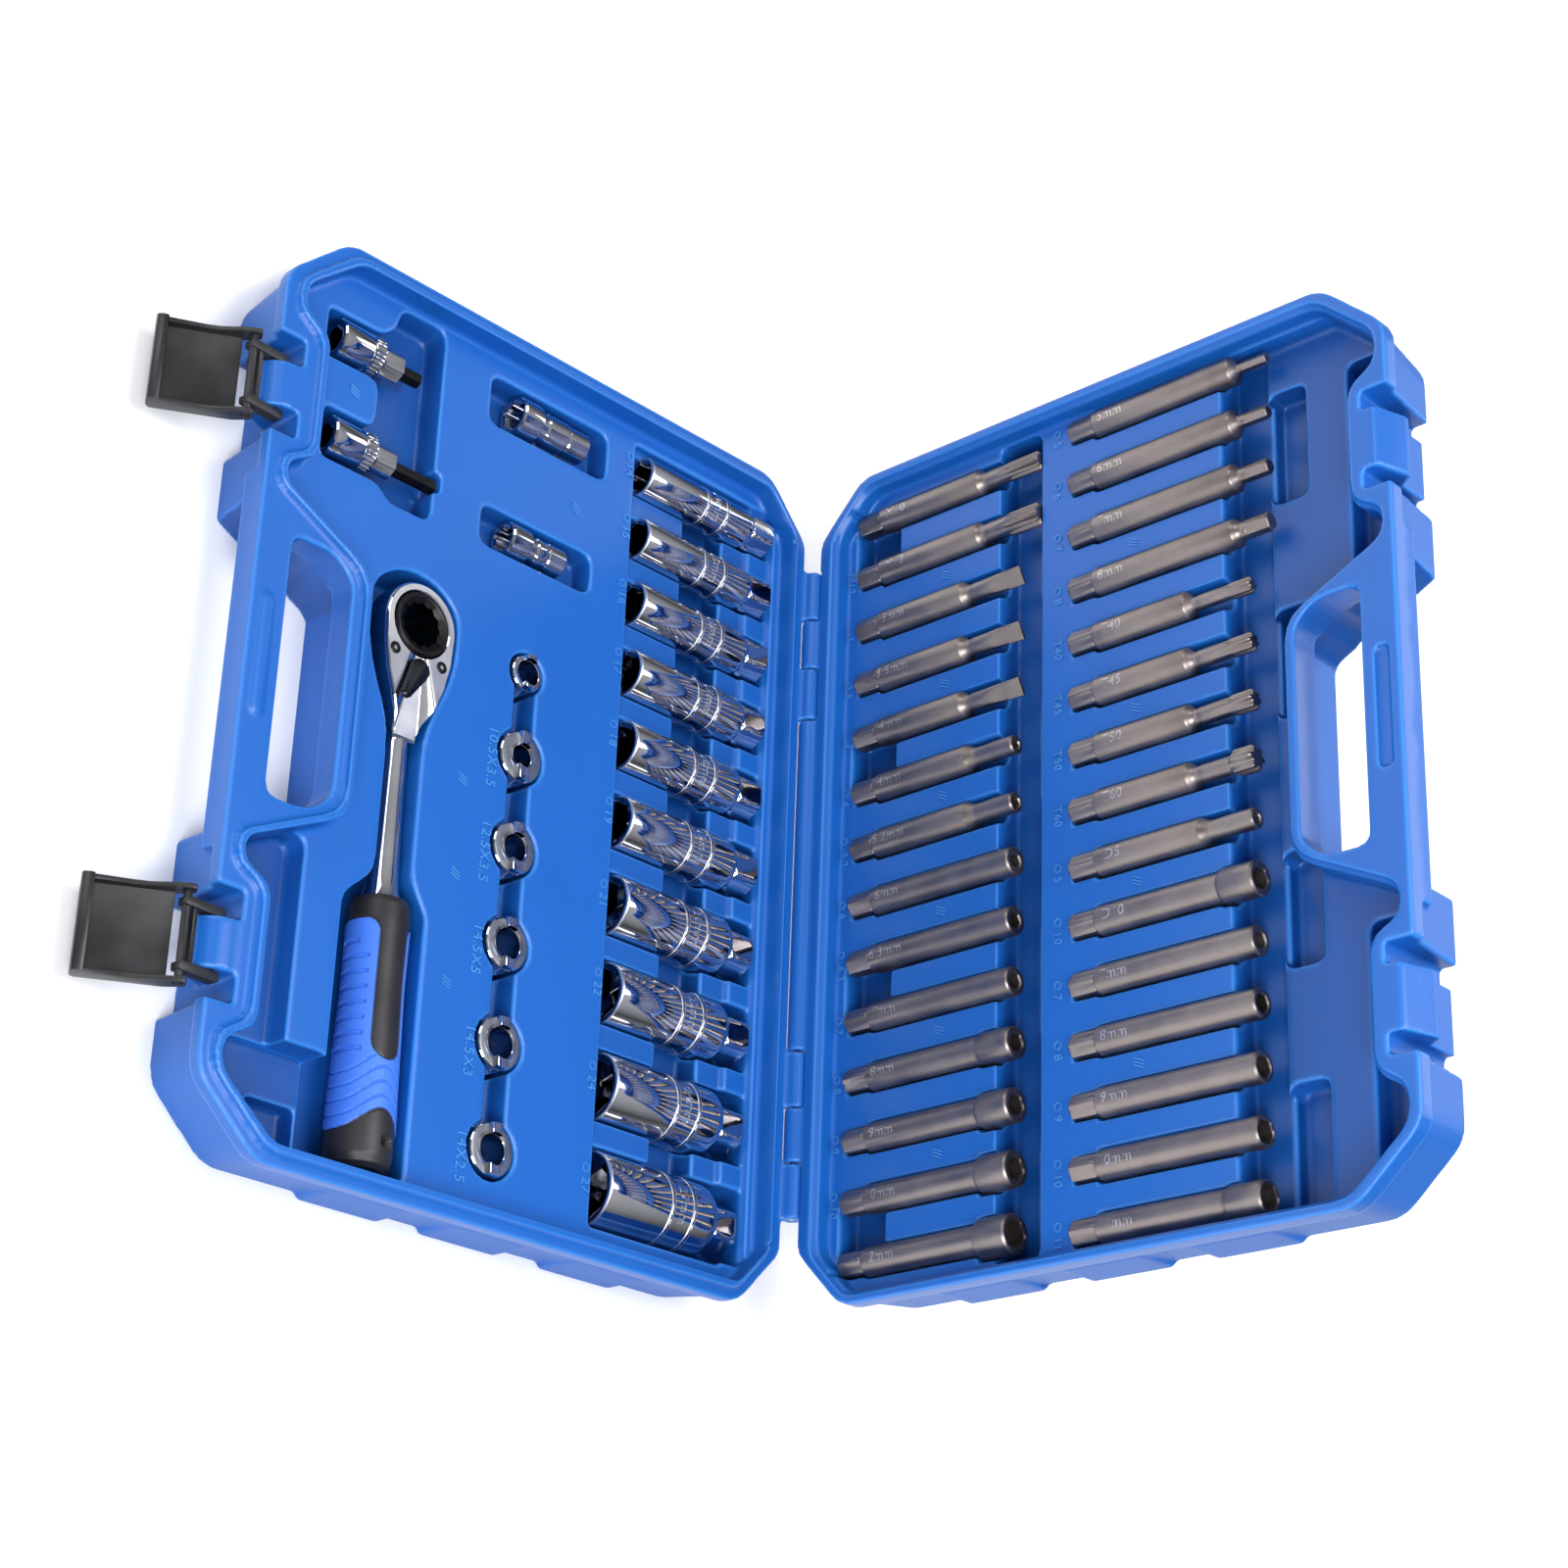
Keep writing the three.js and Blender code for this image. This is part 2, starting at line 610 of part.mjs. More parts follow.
function lidTray() {
  const deck = prism(inset(lipCorners(), LID_RIM_WIDTH), LID_DECK_Z, ABOVE);
  const trench = [box(-190, -76, 316, 350, -33, ABOVE, 5), box(88, 209, 316, 350, -33, ABOVE, 5)];
  const upperWells = LID_WELLS.map(([a, b]) => box(a, b, 133, 143, -36, ABOVE, 4));
  const lowerWells = LID_WELLS.map(([a, b]) => box(Math.max(a, -189), b, 272, 293, -34, ABOVE, 5));
  const pockets = joined([
    deck,
    box(-212, 212, 117, 143, -26, ABOVE, 4),
    box(-212, 212, 252, 350, -21, ABOVE),
    box(-212, 212, 252, 272, -26, ABOVE, 4),
    ...trench, ...upperWells, ...lowerWells, ...fingerWells(),
  ]);
  const within = prism(inset(lipCorners(), LID_RIM_WIDTH), -HALF_DEPTH + 1, ABOVE);
  const handleWall = prism(inset(underHandleCorners(), -HANDLE_WALL), -HALF_DEPTH - 2,
    HANDLE_UNDER_Z + HANDLE_WALL);
  const walled = pockets.intersect(within).subtract(handleWall);
  return joined([walled, ...lidBits().flatMap(bitGroove)]);
}

// Block that the lever's end bar hooks behind.
function catchBlock(x) {
  const side = outline([
    [RECESS_U - 4, LID_LIP_Z, 0],
    [RECESS_U - 4, -HALF_DEPTH + 1.5, 0],
    [341.5, -HALF_DEPTH + 1.5, 0],
    [341.5, CATCH_LEDGE_Z - 4, 2],
    [CATCH_FRONT_U - 1, CATCH_LEDGE_Z, 0],
    [CATCH_FRONT_U, CATCH_LEDGE_Z + 3, 1],
    [CATCH_TOP_U, LID_LIP_Z, 2],
  ]);
  const settings = { depth: 2 * CATCH_HALF, bevelEnabled: false, curveSegments: 2 };
  const geometry = new THREE.ExtrudeGeometry(side, settings);
  geometry.rotateX(Math.PI / 2).rotateZ(Math.PI / 2).translate(x - CATCH_HALF, 0, 0);
  return solid(geometry);
}

function lidShell() {
  const outerLip = prism(flangeCorners(), FLANGE_BOTTOM_Z, LID_LIP_Z);
  const step = prism(inset(lipCorners(), -LIP_GAP), LID_LEDGE_Z, ABOVE);
  const shell = halfShell(LID_LEDGE_Z).add(outerLip);
  const reopened = cutBy(shell, [step, prism(windowCorners(), -HALF_DEPTH - 2, ABOVE)]);
  const trayed = cutBy(reopened, [lidTray(), hingeRelief(), ...recessCuts(CATCH_HALF)]);
  const faces = [-1, 1].map((side) =>
    box(side * LATCH_X - CATCH_HALF, side * LATCH_X + CATCH_HALF, RECESS_U, 400, -HALF_DEPTH - 2,
      ABOVE));
  const { halfLength, u, halfWidth, height } = HANDLE_RIB;
  const groove = box(-halfLength - 1, halfLength + 1, u - halfWidth - 1, u + halfWidth + 1,
    LID_LIP_Z - height - 1.6, ABOVE, 3);
  const body = joined([
    cutBy(trayed, [...faces, groove]),
    ...knuckles(false),
    ...[-1, 1].map((side) => catchBlock(side * LATCH_X)),
  ]);
  const pinHole = alongX(PIN_HOLE_RADIUS, -HINGE_HALF_LENGTH - 4, HINGE_HALF_LENGTH + 4, 0, 0, 12);
  return body.subtract(pinHole);
}

// ---- latches -------------------------------------------------------------------------------

// Link: two arms that straddle the boss, a tie bar, and the pin that carries the lever.
function latchLink() {
  const arms = [-1, 1].map((side) => {
    const a = side * (BOSS_HALF + 0.5);
    const b = side * (BOSS_HALF + 4.6);
    return box(Math.min(a, b), Math.max(a, b), -3.2, LINK_LENGTH + 2.4, -2.8, 2.8, 1.2);
  });
  const stubs = [-1, 1].map((side) => {
    const a = side * (BOSS_HALF - 4);
    const b = side * (BOSS_HALF + 2);
    return alongX(1.7, Math.min(a, b), Math.max(a, b), 0, 0, 10);
  });
  const reach = LEVER_HALF - 0.6;
  const pin = alongX(1.9, -reach, reach, LINK_LENGTH, 0, 10);
  const tie = box(-BOSS_HALF - 2, BOSS_HALF + 2, LINK_LENGTH - 4.8, LINK_LENGTH - 2.8, -1.6, 1.6);
  return joined([...arms, ...stubs, pin, tie]);
}

// Lever: a shallow tray whose side walls carry the pivot holes, with a rolled bar at its free end.
function latchLever() {
  const plate = box(-LEVER_HALF, LEVER_HALF, 5, LEVER_LENGTH, -6.4, -4.2, 1);
  const ear = outline([
    [-3.4, -3.2, 2], [-3.4, 3.4, 2], [3.4, 3.4, 2], [16, -0.6, 6], [LEVER_LENGTH, 1.4, 0],
    [LEVER_LENGTH, -6.4, 0], [5, -6.4, 3],
  ].reverse());
  const settings = { depth: 2, bevelEnabled: false, curveSegments: 2 };
  const sides = [-LEVER_HALF, LEVER_HALF - 2].map((x) => {
    const geometry = new THREE.ExtrudeGeometry(ear, settings);
    return solid(geometry.rotateX(Math.PI / 2).rotateZ(Math.PI / 2).translate(x, 0, 0));
  });
  const bar = outline([
    [LEVER_LENGTH - 4.8, -6.4, 0], [LEVER_LENGTH + 1.6, -6.4, 3], [LEVER_LENGTH + 1.6, 3.4, 2.4],
    [LEVER_LENGTH - 4.4, 3.4, 2], [LEVER_LENGTH - 3.2, -3.2, 2],
  ]);
  const barGeometry = new THREE.ExtrudeGeometry(bar,
    { depth: 2 * LEVER_HALF, bevelEnabled: false, curveSegments: 2 });
  barGeometry.rotateX(Math.PI / 2).rotateZ(Math.PI / 2).translate(-LEVER_HALF, 0, 0);
  const holes = alongX(2.3, -LEVER_HALF - 2, LEVER_HALF + 2, 0, 0, 12);
  return joined([plate, ...sides, solid(barGeometry)]).subtract(holes);
}

// ---- tools ---------------------------------------------------------------------------------

function deepSocket(size, radius) {
  const bore = (size / 2 + 0.1) / Math.cos(Math.PI / 6);
  const hex = SOCKET_HEX / 2 / Math.cos(Math.PI / 6);
  const shoulder = Math.min(radius, hex + 0.3);
  return turned([
    [0, SOCKET_THROUGH_RADIUS, 0],
    [0, hex, 6],
    [SOCKET_HEX_LENGTH, hex, 6],
    [SOCKET_HEX_LENGTH + 0.4, shoulder, 0],
    [SOCKET_HEX_LENGTH + 4 + (radius - shoulder), radius, 0],
    [SOCKET_LENGTH, radius, 0],
    [SOCKET_LENGTH, bore, 6],
    [SOCKET_LENGTH - 28, bore, 6],
    [SOCKET_LENGTH - 30, SOCKET_THROUGH_RADIUS, 0],
  ], ROUND_STEPS, true);
}

function bit({ kind, tip, bore }) {
  const hex = BIT_HEX / 2 / Math.cos(Math.PI / 6);
  const length = BIT_LENGTHS[kind];
  const end = BODY_ENDS[kind];
  const rings = [
    [0, hex, 6],
    [BIT_HEX_LENGTH, hex, 6],
    [BIT_HEX_LENGTH + 0.3, BIT_RADIUS, 0],
  ];
  if (kind === "plain") {
    rings.push([length, tip, 0]);
  } else if (kind === "head") {
    rings.push([end, BIT_RADIUS, 0], [end + 0.8, tip, 0], [length, tip, 0]);
  } else if (kind === "slot") {
    rings.push([end, BIT_RADIUS, 0], [end + 5, 4.6, 0], [length - 18, 4.6, 0]);
    rings.push([length - 16, 4.6, 0], [length, 4.9, 0]);
  } else if (kind === "star") {
    const neck = Math.min(tip - 0.4, 4.4);
    rings.push([end, BIT_RADIUS, 0], [end + 5, neck, 0], [length - 11, neck, 0]);
    rings.push([length - 10.6, tip, 0], [length, tip, 0]);
  } else if (kind === "hex") {
    rings.push([end, BIT_RADIUS, 0], [end + 5, tip, 0], [end + 5.6, tip, 6], [length, tip, 6]);
  } else {
    rings.push([end, BIT_RADIUS, 0], [end + 4, tip, 0], [length, tip, 0]);
  }
  if (bore) rings.push([length, bore, 6], [length - 14, bore, 6]);
  const body = solid(turned(rings, ROUND_STEPS).rotateY(Math.PI / 6));
  if (kind !== "slot") return body;
  const flats = [-1, 1].map((side) => {
    const a = side * tip * 0.5;
    return box(-20, 20, length - 16, length + 4, Math.min(a, side * 12), Math.max(a, side * 12));
  });
  return cutBy(body, flats);
}

// Strut spigot: a bored drum with two opposite driving lugs on its upper face.
function spigot({ radius, bore }) {
  const top = SPIGOT_HEIGHT - SPIGOT_LUG_HEIGHT;
  const drum = solid(turned([
    [0, bore, 0], [0, radius, 0], [top, radius, 0], [top, bore, 0],
  ], SPIGOT_STEPS, true).rotateX(Math.PI / 2));
  const lugs = [-1, 1].map((side) => {
    const geometry = turned([
      [top - 1, bore, 0], [top - 1, radius - 0.6, 0], [SPIGOT_HEIGHT, radius - 0.6, 0],
      [SPIGOT_HEIGHT, bore, 0],
    ], SPIGOT_STEPS, true).rotateX(Math.PI / 2);
    const keep = box(side > 0 ? 0 : -40, side > 0 ? 40 : 0, -2, 2, 0, 60);
    return solid(geometry).intersect(keep);
  });
  return joined([drum, ...lugs]);
}

function bitSocket(length, hexBit) {
  const hex = 7 / Math.cos(Math.PI / 6);
  const drive = 6.7;
  return turned([
    [0, hexBit, 6], [length - 39, hexBit, 6], [length - 38.6, hex, 6], [length - 26, hex, 6],
    [length - 25.6, 9.4, 0], [length, 9.4, 0], [length, drive, 0], [length - 17, drive, 0],
  ], ROUND_STEPS);
}

function adapter(length, radius, neck, neckLength) {
  return turned([
    [0, neck, 0], [neckLength, neck, 0], [neckLength + 0.8, radius, 0], [length, radius, 0],
    [length, radius - 3, 6], [length - 15, radius - 3, 6],
  ], ROUND_STEPS);
}

// Ratchet head and shank in one forging; local x runs along the handle from the ring centre.
function ratchetBody() {
  const shankEnd = GRIP_START_X - RING_X - 0.4;
  const plan = [
    [-HEAD_RADIUS, 9, 10], [-11, HEAD_RADIUS, 12], [6, HEAD_RADIUS, 12], [30, 14.5, 14],
    [46, 7.2, 8], [54, 6.6, 3], [54, -6.6, 3], [46, -7.2, 8], [30, -14.5, 14],
    [6, -HEAD_RADIUS, 12], [-11, -HEAD_RADIUS, 12], [-HEAD_RADIUS, -9, 10],
  ];
  const head = prism(plan.reverse(), -HEAD_HALF, HEAD_HALF);
  const section = new THREE.CylinderGeometry(1, 1, 1, 16, 1).rotateZ(Math.PI / 2);
  const shank = section.scale(shankEnd - 30, 6.6, 5.6).translate((shankEnd + 30) / 2, 0, 0);
  const tang = new THREE.CylinderGeometry(4, 4, 70, 12, 1).rotateZ(Math.PI / 2);
  tang.translate(shankEnd + 33, 0, 0);
  const thinned = [-1, 1].map((side) => {
    const slope = outline([[40, side * 20], [40, side * 12.2], [56, side * 5.2], [56, side * 20]]);
    const geometry = new THREE.ExtrudeGeometry(slope, { depth: 60, bevelEnabled: false });
    return solid(geometry.rotateX(Math.PI / 2).translate(0, 30, 0));
  });
  const leverSlot = prism(
    [[18.2, -5, 1], [42, -10, 3], [42, 10, 3], [18.2, 6, 1]], HEAD_HALF - 4, HEAD_HALF + 4);
  const solids = joined([head, solid(shank), solid(tang)]);
  return cutBy(solids, [upright(RING_RADIUS + 0.4, 0, 0, -30, 30, 24), leverSlot, ...thinned]);
}

function ratchetRing() {
  const bore = RING_BORE / 2 / Math.cos(Math.PI / 12);
  const half = HEAD_HALF + 0.8;
  return turned([
    [-half, bore, 12], [-half, RING_RADIUS - 0.8, 0], [-half + 0.8, RING_RADIUS, 0],
    [half - 0.8, RING_RADIUS, 0], [half, RING_RADIUS - 0.8, 0], [half, bore, 12],
  ], 24, true).rotateX(Math.PI / 2);
}

function reversingLever() {
  const plan = [[-4.2, -3, 2], [2.6, -4.2, 3], [17, -2.4, 1.6], [17, 2.4, 1.6], [2.6, 4.2, 3], [-4.2, 3, 2]];
  return prism(plan, 0, 3);
}

function ratchetGrip() {
  const length = GRIP_END_X - GRIP_START_X;
  const r = GRIP_RADIUS;
  const body = solid(turned([
    [0, 4.4, 0], [0, 9.5, 0], [9, 14.2, 0], [40, 13.8, 0], [105, r, 0], [length - 5, r, 0],
    [length, r - 4, 0], [length, 0.4, 0], [72.5, 0.4, 0], [72, 4.4, 0],
  ], 16, true).rotateZ(-Math.PI / 2));
  const hang = turned([[-20, 4, 6], [20, 4, 6]], 12).rotateX(Math.PI / 2);
  return body.subtract(solid(hang.translate(length - 12, 4, 0)));
}

// ---- assembly ------------------------------------------------------------------------------

function flippedU(body) {
  const geometry = geometryOf(body).toNonIndexed().scale(1, -1, 1);
  const place = geometry.attributes.position;
  for (let i = 0; i < place.count; i += 3) {
    const a = new THREE.Vector3().fromBufferAttribute(place, i + 1);
    const b = new THREE.Vector3().fromBufferAttribute(place, i + 2);
    place.setXYZ(i + 1, b.x, b.y, b.z);
    place.setXYZ(i + 2, a.x, a.y, a.z);
  }
  return geometry;
}

// A tool of the base lies with its local +y towards the hinge unless it is turned round.
function layInBase(mesh, x, u, z, turn = Math.PI) {
  mesh.position.set(x, -u, z);
  mesh.rotation.set(0, 0, turn);
  return mesh;
}

function baseTools() {
  const sockets = socketPlaces().map(({ size, radius, x, z }) =>
    layInBase(named(`socket_${size}mm`, deepSocket(size, radius), CHROME), x, SOCKET_TAIL_U, z));
  const spigots = SPIGOTS.map((entry) => {
    const mesh = named(entry.name, spigot(entry), CHROME);
    mesh.position.set(entry.x, -SPIGOT_U, SPIGOT_TOP_Z - SPIGOT_HEIGHT);
    return mesh;
  });
  return [
    ...sockets,
    ...spigots,
    layInBase(named("bit_socket_short", bitSocket(51.5, 4), CHROME), -177, 260.5, -15.5),
    layInBase(named("bit_socket_long", bitSocket(65, 4), CHROME), -126, 246.5, -15.5),
    layInBase(named("adapter_large", adapter(45, 9.2, 7.2, 14), CHROME), -186, 155.5, -15.5),
    layInBase(named("adapter_small", adapter(36, 8, 7.4, 8), CHROME), -118.4, 165, -15.5),
  ];
}

function ratchet() {
  const group = new THREE.Group();
  group.position.set(RING_X, -RATCHET_U, RATCHET_Z);
  const lever = named("ratchet_reversing_lever", reversingLever(), BLACK_STEEL);
  lever.position.set(23.5, 0, HEAD_HALF - 3.6);
  lever.rotation.z = -0.28;
  const grip = named("ratchet_grip", ratchetGrip(), GRIP_RUBBER);
  grip.position.set(GRIP_START_X - RING_X, 0, 0);
  group.add(
    named("ratchet_body", ratchetBody(), CHROME),
    named("ratchet_ring", ratchetRing(), BLACK_STEEL),
    lever,
    grip,
  );
  return group;
}

// A latch hangs open in front of the base: link and lever each sit at their own pivot.
function latch(side) {
  const suffix = side < 0 ? "left" : "right";
  const link = new THREE.Group();
  link.position.set(side * LATCH_X, -LINK_PIVOT.u, LINK_PIVOT.z);
  link.rotation.x = -LINK_REST;
  link.add(named(`latch_link_${suffix}`, flippedU(latchLink()), BLACK_PLASTIC));
  const lever = new THREE.Group();
  lever.position.set(0, -LINK_LENGTH, 0);
  lever.rotation.x = LINK_REST - LEVER_REST;
  lever.add(named(`latch_lever_${suffix}`, flippedU(latchLever()), BLACK_PLASTIC));
  link.add(lever);
  return link;
}

function baseGroup() {
  const group = new THREE.Group();
  group.position.set(0, HINGE_Y, HINGE_Z);
  const pin = alongX(PIN_RADIUS, -HINGE_HALF_LENGTH + 0.5, HINGE_HALF_LENGTH - 0.5, 0, 0, 12);
  group.add(
    named("case_base", flippedU(baseShell()), CASE_BLUE),
    named("hinge_pin", pin, SATIN_STEEL),
    latch(-1),
    latch(1),
    ...baseTools(),
    ratchet(),
  );
  return group;
}

function lidGroup() {
  const group = new THREE.Group();
  group.position.set(0, HINGE_Y, HINGE_Z);
  group.rotation.x = OPEN_ANGLE;
  group.add(named("case_lid", lidShell(), CASE_BLUE));
  for (const entry of lidBits()) {
    const mesh = named(entry.name, bit(entry), SATIN_STEEL);
    mesh.position.set(entry.x, entry.u, BIT_AXIS_Z);
    group.add(mesh);
  }
  return group;
}

const caseSet = new THREE.Group();
caseSet.name = "socket_wrench_set";
caseSet.add(baseGroup(), lidGroup());

export default caseSet;
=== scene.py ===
import math

import bmesh
import bpy
from mathutils import Matrix, Vector


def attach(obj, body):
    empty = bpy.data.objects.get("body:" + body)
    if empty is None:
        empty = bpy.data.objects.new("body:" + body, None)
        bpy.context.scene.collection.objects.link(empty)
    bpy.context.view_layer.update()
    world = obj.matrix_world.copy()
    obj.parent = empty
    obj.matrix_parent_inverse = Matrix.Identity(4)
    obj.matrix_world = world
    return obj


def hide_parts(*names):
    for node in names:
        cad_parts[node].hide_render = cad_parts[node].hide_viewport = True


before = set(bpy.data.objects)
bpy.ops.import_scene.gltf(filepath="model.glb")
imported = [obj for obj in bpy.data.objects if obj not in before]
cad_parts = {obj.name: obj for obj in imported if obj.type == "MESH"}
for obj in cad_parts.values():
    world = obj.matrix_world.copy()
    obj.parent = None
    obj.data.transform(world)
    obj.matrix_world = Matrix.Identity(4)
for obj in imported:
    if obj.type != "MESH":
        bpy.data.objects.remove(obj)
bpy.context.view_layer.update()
MM = 0.001

# ---- Case halves ---------------------------------------------------------------------------
# Two blow-moulded halves in blue polyethylene, pressed from one tube of hot plastic. Every edge
# is soft, the inside is satin, and the outer walls carry a fine leather grain.

HINGE_Y = 178
HINGE_Z = 44
FLANGE_DEPTH = 9.6
CASE_BLUE = (0.0065, 0.112, 0.47, 1)
CASE_DEEP = (0.006, 0.105, 0.445, 1)
# Painted shade: the colour that the pockets are darkened towards the deeper they lie.
CASE_PAINTED_SHADE = (0.0035, 0.05, 0.235, 1)
# Painted highlight: the paler blue laid on sharp edges.
CASE_EDGE_HIGHLIGHT = (0.03, 0.2, 0.64, 1)
HALF_WIDTH = 220
HALF_LENGTH = 175
MIDDLE_U = 178
MOST_TRIANGLES = 190000


def base_point(x, u, z):
    return Vector((x, HINGE_Y - u, HINGE_Z + z)) * MM


def lid_point(x, u, z):
    return Vector((x, HINGE_Y - z, HINGE_Z + u)) * MM


def tray_place(point, in_lid):
    x, y, z = (value / MM for value in point)
    return (x, z - HINGE_Z, HINGE_Y - y) if in_lid else (x, HINGE_Y - y, z - HINGE_Z)


def object_of(name, mesh):
    obj = bpy.data.objects.new(name, mesh)
    bpy.context.scene.collection.objects.link(obj)
    return obj


def settled(obj):
    """The object with its modifiers worked into its mesh."""
    graph = bpy.context.evaluated_depsgraph_get()
    mesh = bpy.data.meshes.new_from_object(obj.evaluated_get(graph))
    obj.modifiers.clear()
    old = obj.data
    obj.data = mesh
    bpy.data.meshes.remove(old)
    return obj


def welded_copy(node, name):
    """A copy of a frame node's mesh, merged into one skin."""
    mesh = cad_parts[node].data.copy()
    mesh.materials.clear()
    work = bmesh.new()
    work.from_mesh(mesh)
    bmesh.ops.remove_doubles(work, verts=work.verts, dist=2e-6)
    work.to_mesh(mesh)
    work.free()
    return object_of(name, mesh)


def mesh_of(work, name):
    """The bmesh written to a new mesh and let go."""
    mesh = bpy.data.meshes.new(name)
    work.to_mesh(mesh)
    work.free()
    return mesh


def speckle_group():
    """Mottling shared by the finishes: a slow patchiness and a fine tooth, both from noise."""
    group = bpy.data.node_groups.new("surface_mottle", "ShaderNodeTree")
    for label in ("Patch", "Tooth"):
        group.interface.new_socket(label + " Scale", in_out="INPUT", socket_type="NodeSocketFloat")
        group.interface.new_socket(label, in_out="OUTPUT", socket_type="NodeSocketFloat")
    nodes, links = group.nodes, group.links
    entry = nodes.new("NodeGroupInput")
    leave = nodes.new("NodeGroupOutput")
    place = nodes.new("ShaderNodeTexCoord")
    for label, detail in (("Patch", 3.0), ("Tooth", 2.0)):
        noise = nodes.new("ShaderNodeTexNoise")
        noise.inputs["Detail"].default_value = detail
        links.new(place.outputs["Object"], noise.inputs["Vector"])
        links.new(entry.outputs[label + " Scale"], noise.inputs["Scale"])
        links.new(noise.outputs["Fac"], leave.inputs[label])
    return group


def finish_nodes(name, patch_scale, tooth_scale):
    """A new material with its Principled shader and the shared mottle, ready to be wired."""
    material = bpy.data.materials.new(name)
    material.use_nodes = True
    tree = material.node_tree
    shader = tree.nodes["Principled BSDF"]
    mottle = tree.nodes.new("ShaderNodeGroup")
    mottle.node_tree = surface_mottle
    mottle.inputs["Patch Scale"].default_value = patch_scale
    mottle.inputs["Tooth Scale"].default_value = tooth_scale
    return material, tree, shader, mottle


def ramp(tree, source, stops):
    """A colour ramp over a value, from [(position, colour), ...]."""
    node = tree.nodes.new("ShaderNodeValToRGB")
    node.color_ramp.elements[0].position, node.color_ramp.elements[0].color = stops[0]
    node.color_ramp.elements[1].position, node.color_ramp.elements[1].color = stops[-1]
    for position, colour in stops[1:-1]:
        node.color_ramp.elements.new(position).color = colour
    tree.links.new(source, node.inputs["Fac"])
    return node


def spread(tree, source, low, high, start=0.0, end=1.0):
    """A value stretched from start..end to low..high."""
    node = tree.nodes.new("ShaderNodeMapRange")
    node.inputs["From Min"].default_value = start
    node.inputs["From Max"].default_value = end
    node.inputs["To Min"].default_value = low
    node.inputs["To Max"].default_value = high
    tree.links.new(source, node.inputs["Value"])
    return node.outputs["Result"]


def blended(tree, share, first, second):
    """A colour that goes from first to a fixed second colour by share."""
    mix = tree.nodes.new("ShaderNodeMix")
    mix.data_type = "RGBA"
    mix.inputs["B"].default_value = second
    tree.links.new(share, mix.inputs["Factor"])
    tree.links.new(first, mix.inputs["A"])
    return mix.outputs["Result"]


def smooth_step(low, high, value):
    share = min(max((value - low) / (high - low), 0.0), 1.0)
    return share * share * (3 - 2 * share)


def bumped(tree, shader, height, strength, distance):
    bump = tree.nodes.new("ShaderNodeBump")
    bump.inputs["Strength"].default_value = strength
    bump.inputs["Distance"].default_value = distance
    tree.links.new(height, bump.inputs["Height"])
    tree.links.new(bump.outputs["Normal"], shader.inputs["Normal"])


def attribute(tree, name):
    """The value of a mesh attribute."""
    node = tree.nodes.new("ShaderNodeAttribute")
    node.attribute_name = name
    return node.outputs["Fac"]


surface_mottle = speckle_group()


def case_plastic():
    material, tree, shader, mottle = finish_nodes("case_plastic", 14.0, 1500.0)
    body = ramp(tree, mottle.outputs["Patch"],
                [(0.3, CASE_DEEP), (0.5, CASE_BLUE), (0.72, CASE_BLUE)])
    # Painted shade: the deep mark darkens the pockets towards the shade colour below the deck.
    deep = spread(tree, attribute(tree, "deep"), 0.0, 0.7)
    shade = blended(tree, deep, body.outputs["Color"], CASE_PAINTED_SHADE)
    # Painted highlight: sharp edges are turned paler by the edge mark.
    edge_highlight = blended(tree, attribute(tree, "edge"), shade, CASE_EDGE_HIGHLIGHT)
    tree.links.new(edge_highlight, shader.inputs["Base Color"])
    outside = attribute(tree, "outside")
    tree.links.new(spread(tree, outside, 0.36, 0.5), shader.inputs["Roughness"])
    grain = tree.nodes.new("ShaderNodeTexVoronoi")
    grain.inputs["Scale"].default_value = 1100.0
    place = tree.nodes.new("ShaderNodeTexCoord")
    tree.links.new(place.outputs["Object"], grain.inputs["Vector"])
    height = tree.nodes.new("ShaderNodeMath")
    height.operation = "MULTIPLY"
    tree.links.new(grain.outputs["Distance"], height.inputs[0])
    tree.links.new(outside, height.inputs[1])
    both = tree.nodes.new("ShaderNodeMath")
    both.operation = "MULTIPLY_ADD"
    both.inputs[1].default_value = 0.08
    tree.links.new(mottle.outputs["Tooth"], both.inputs[0])
    tree.links.new(height.outputs["Value"], both.inputs[2])
    bumped(tree, shader, both.outputs["Value"], 0.35, 0.00025)
    return material


case_blue = case_plastic()


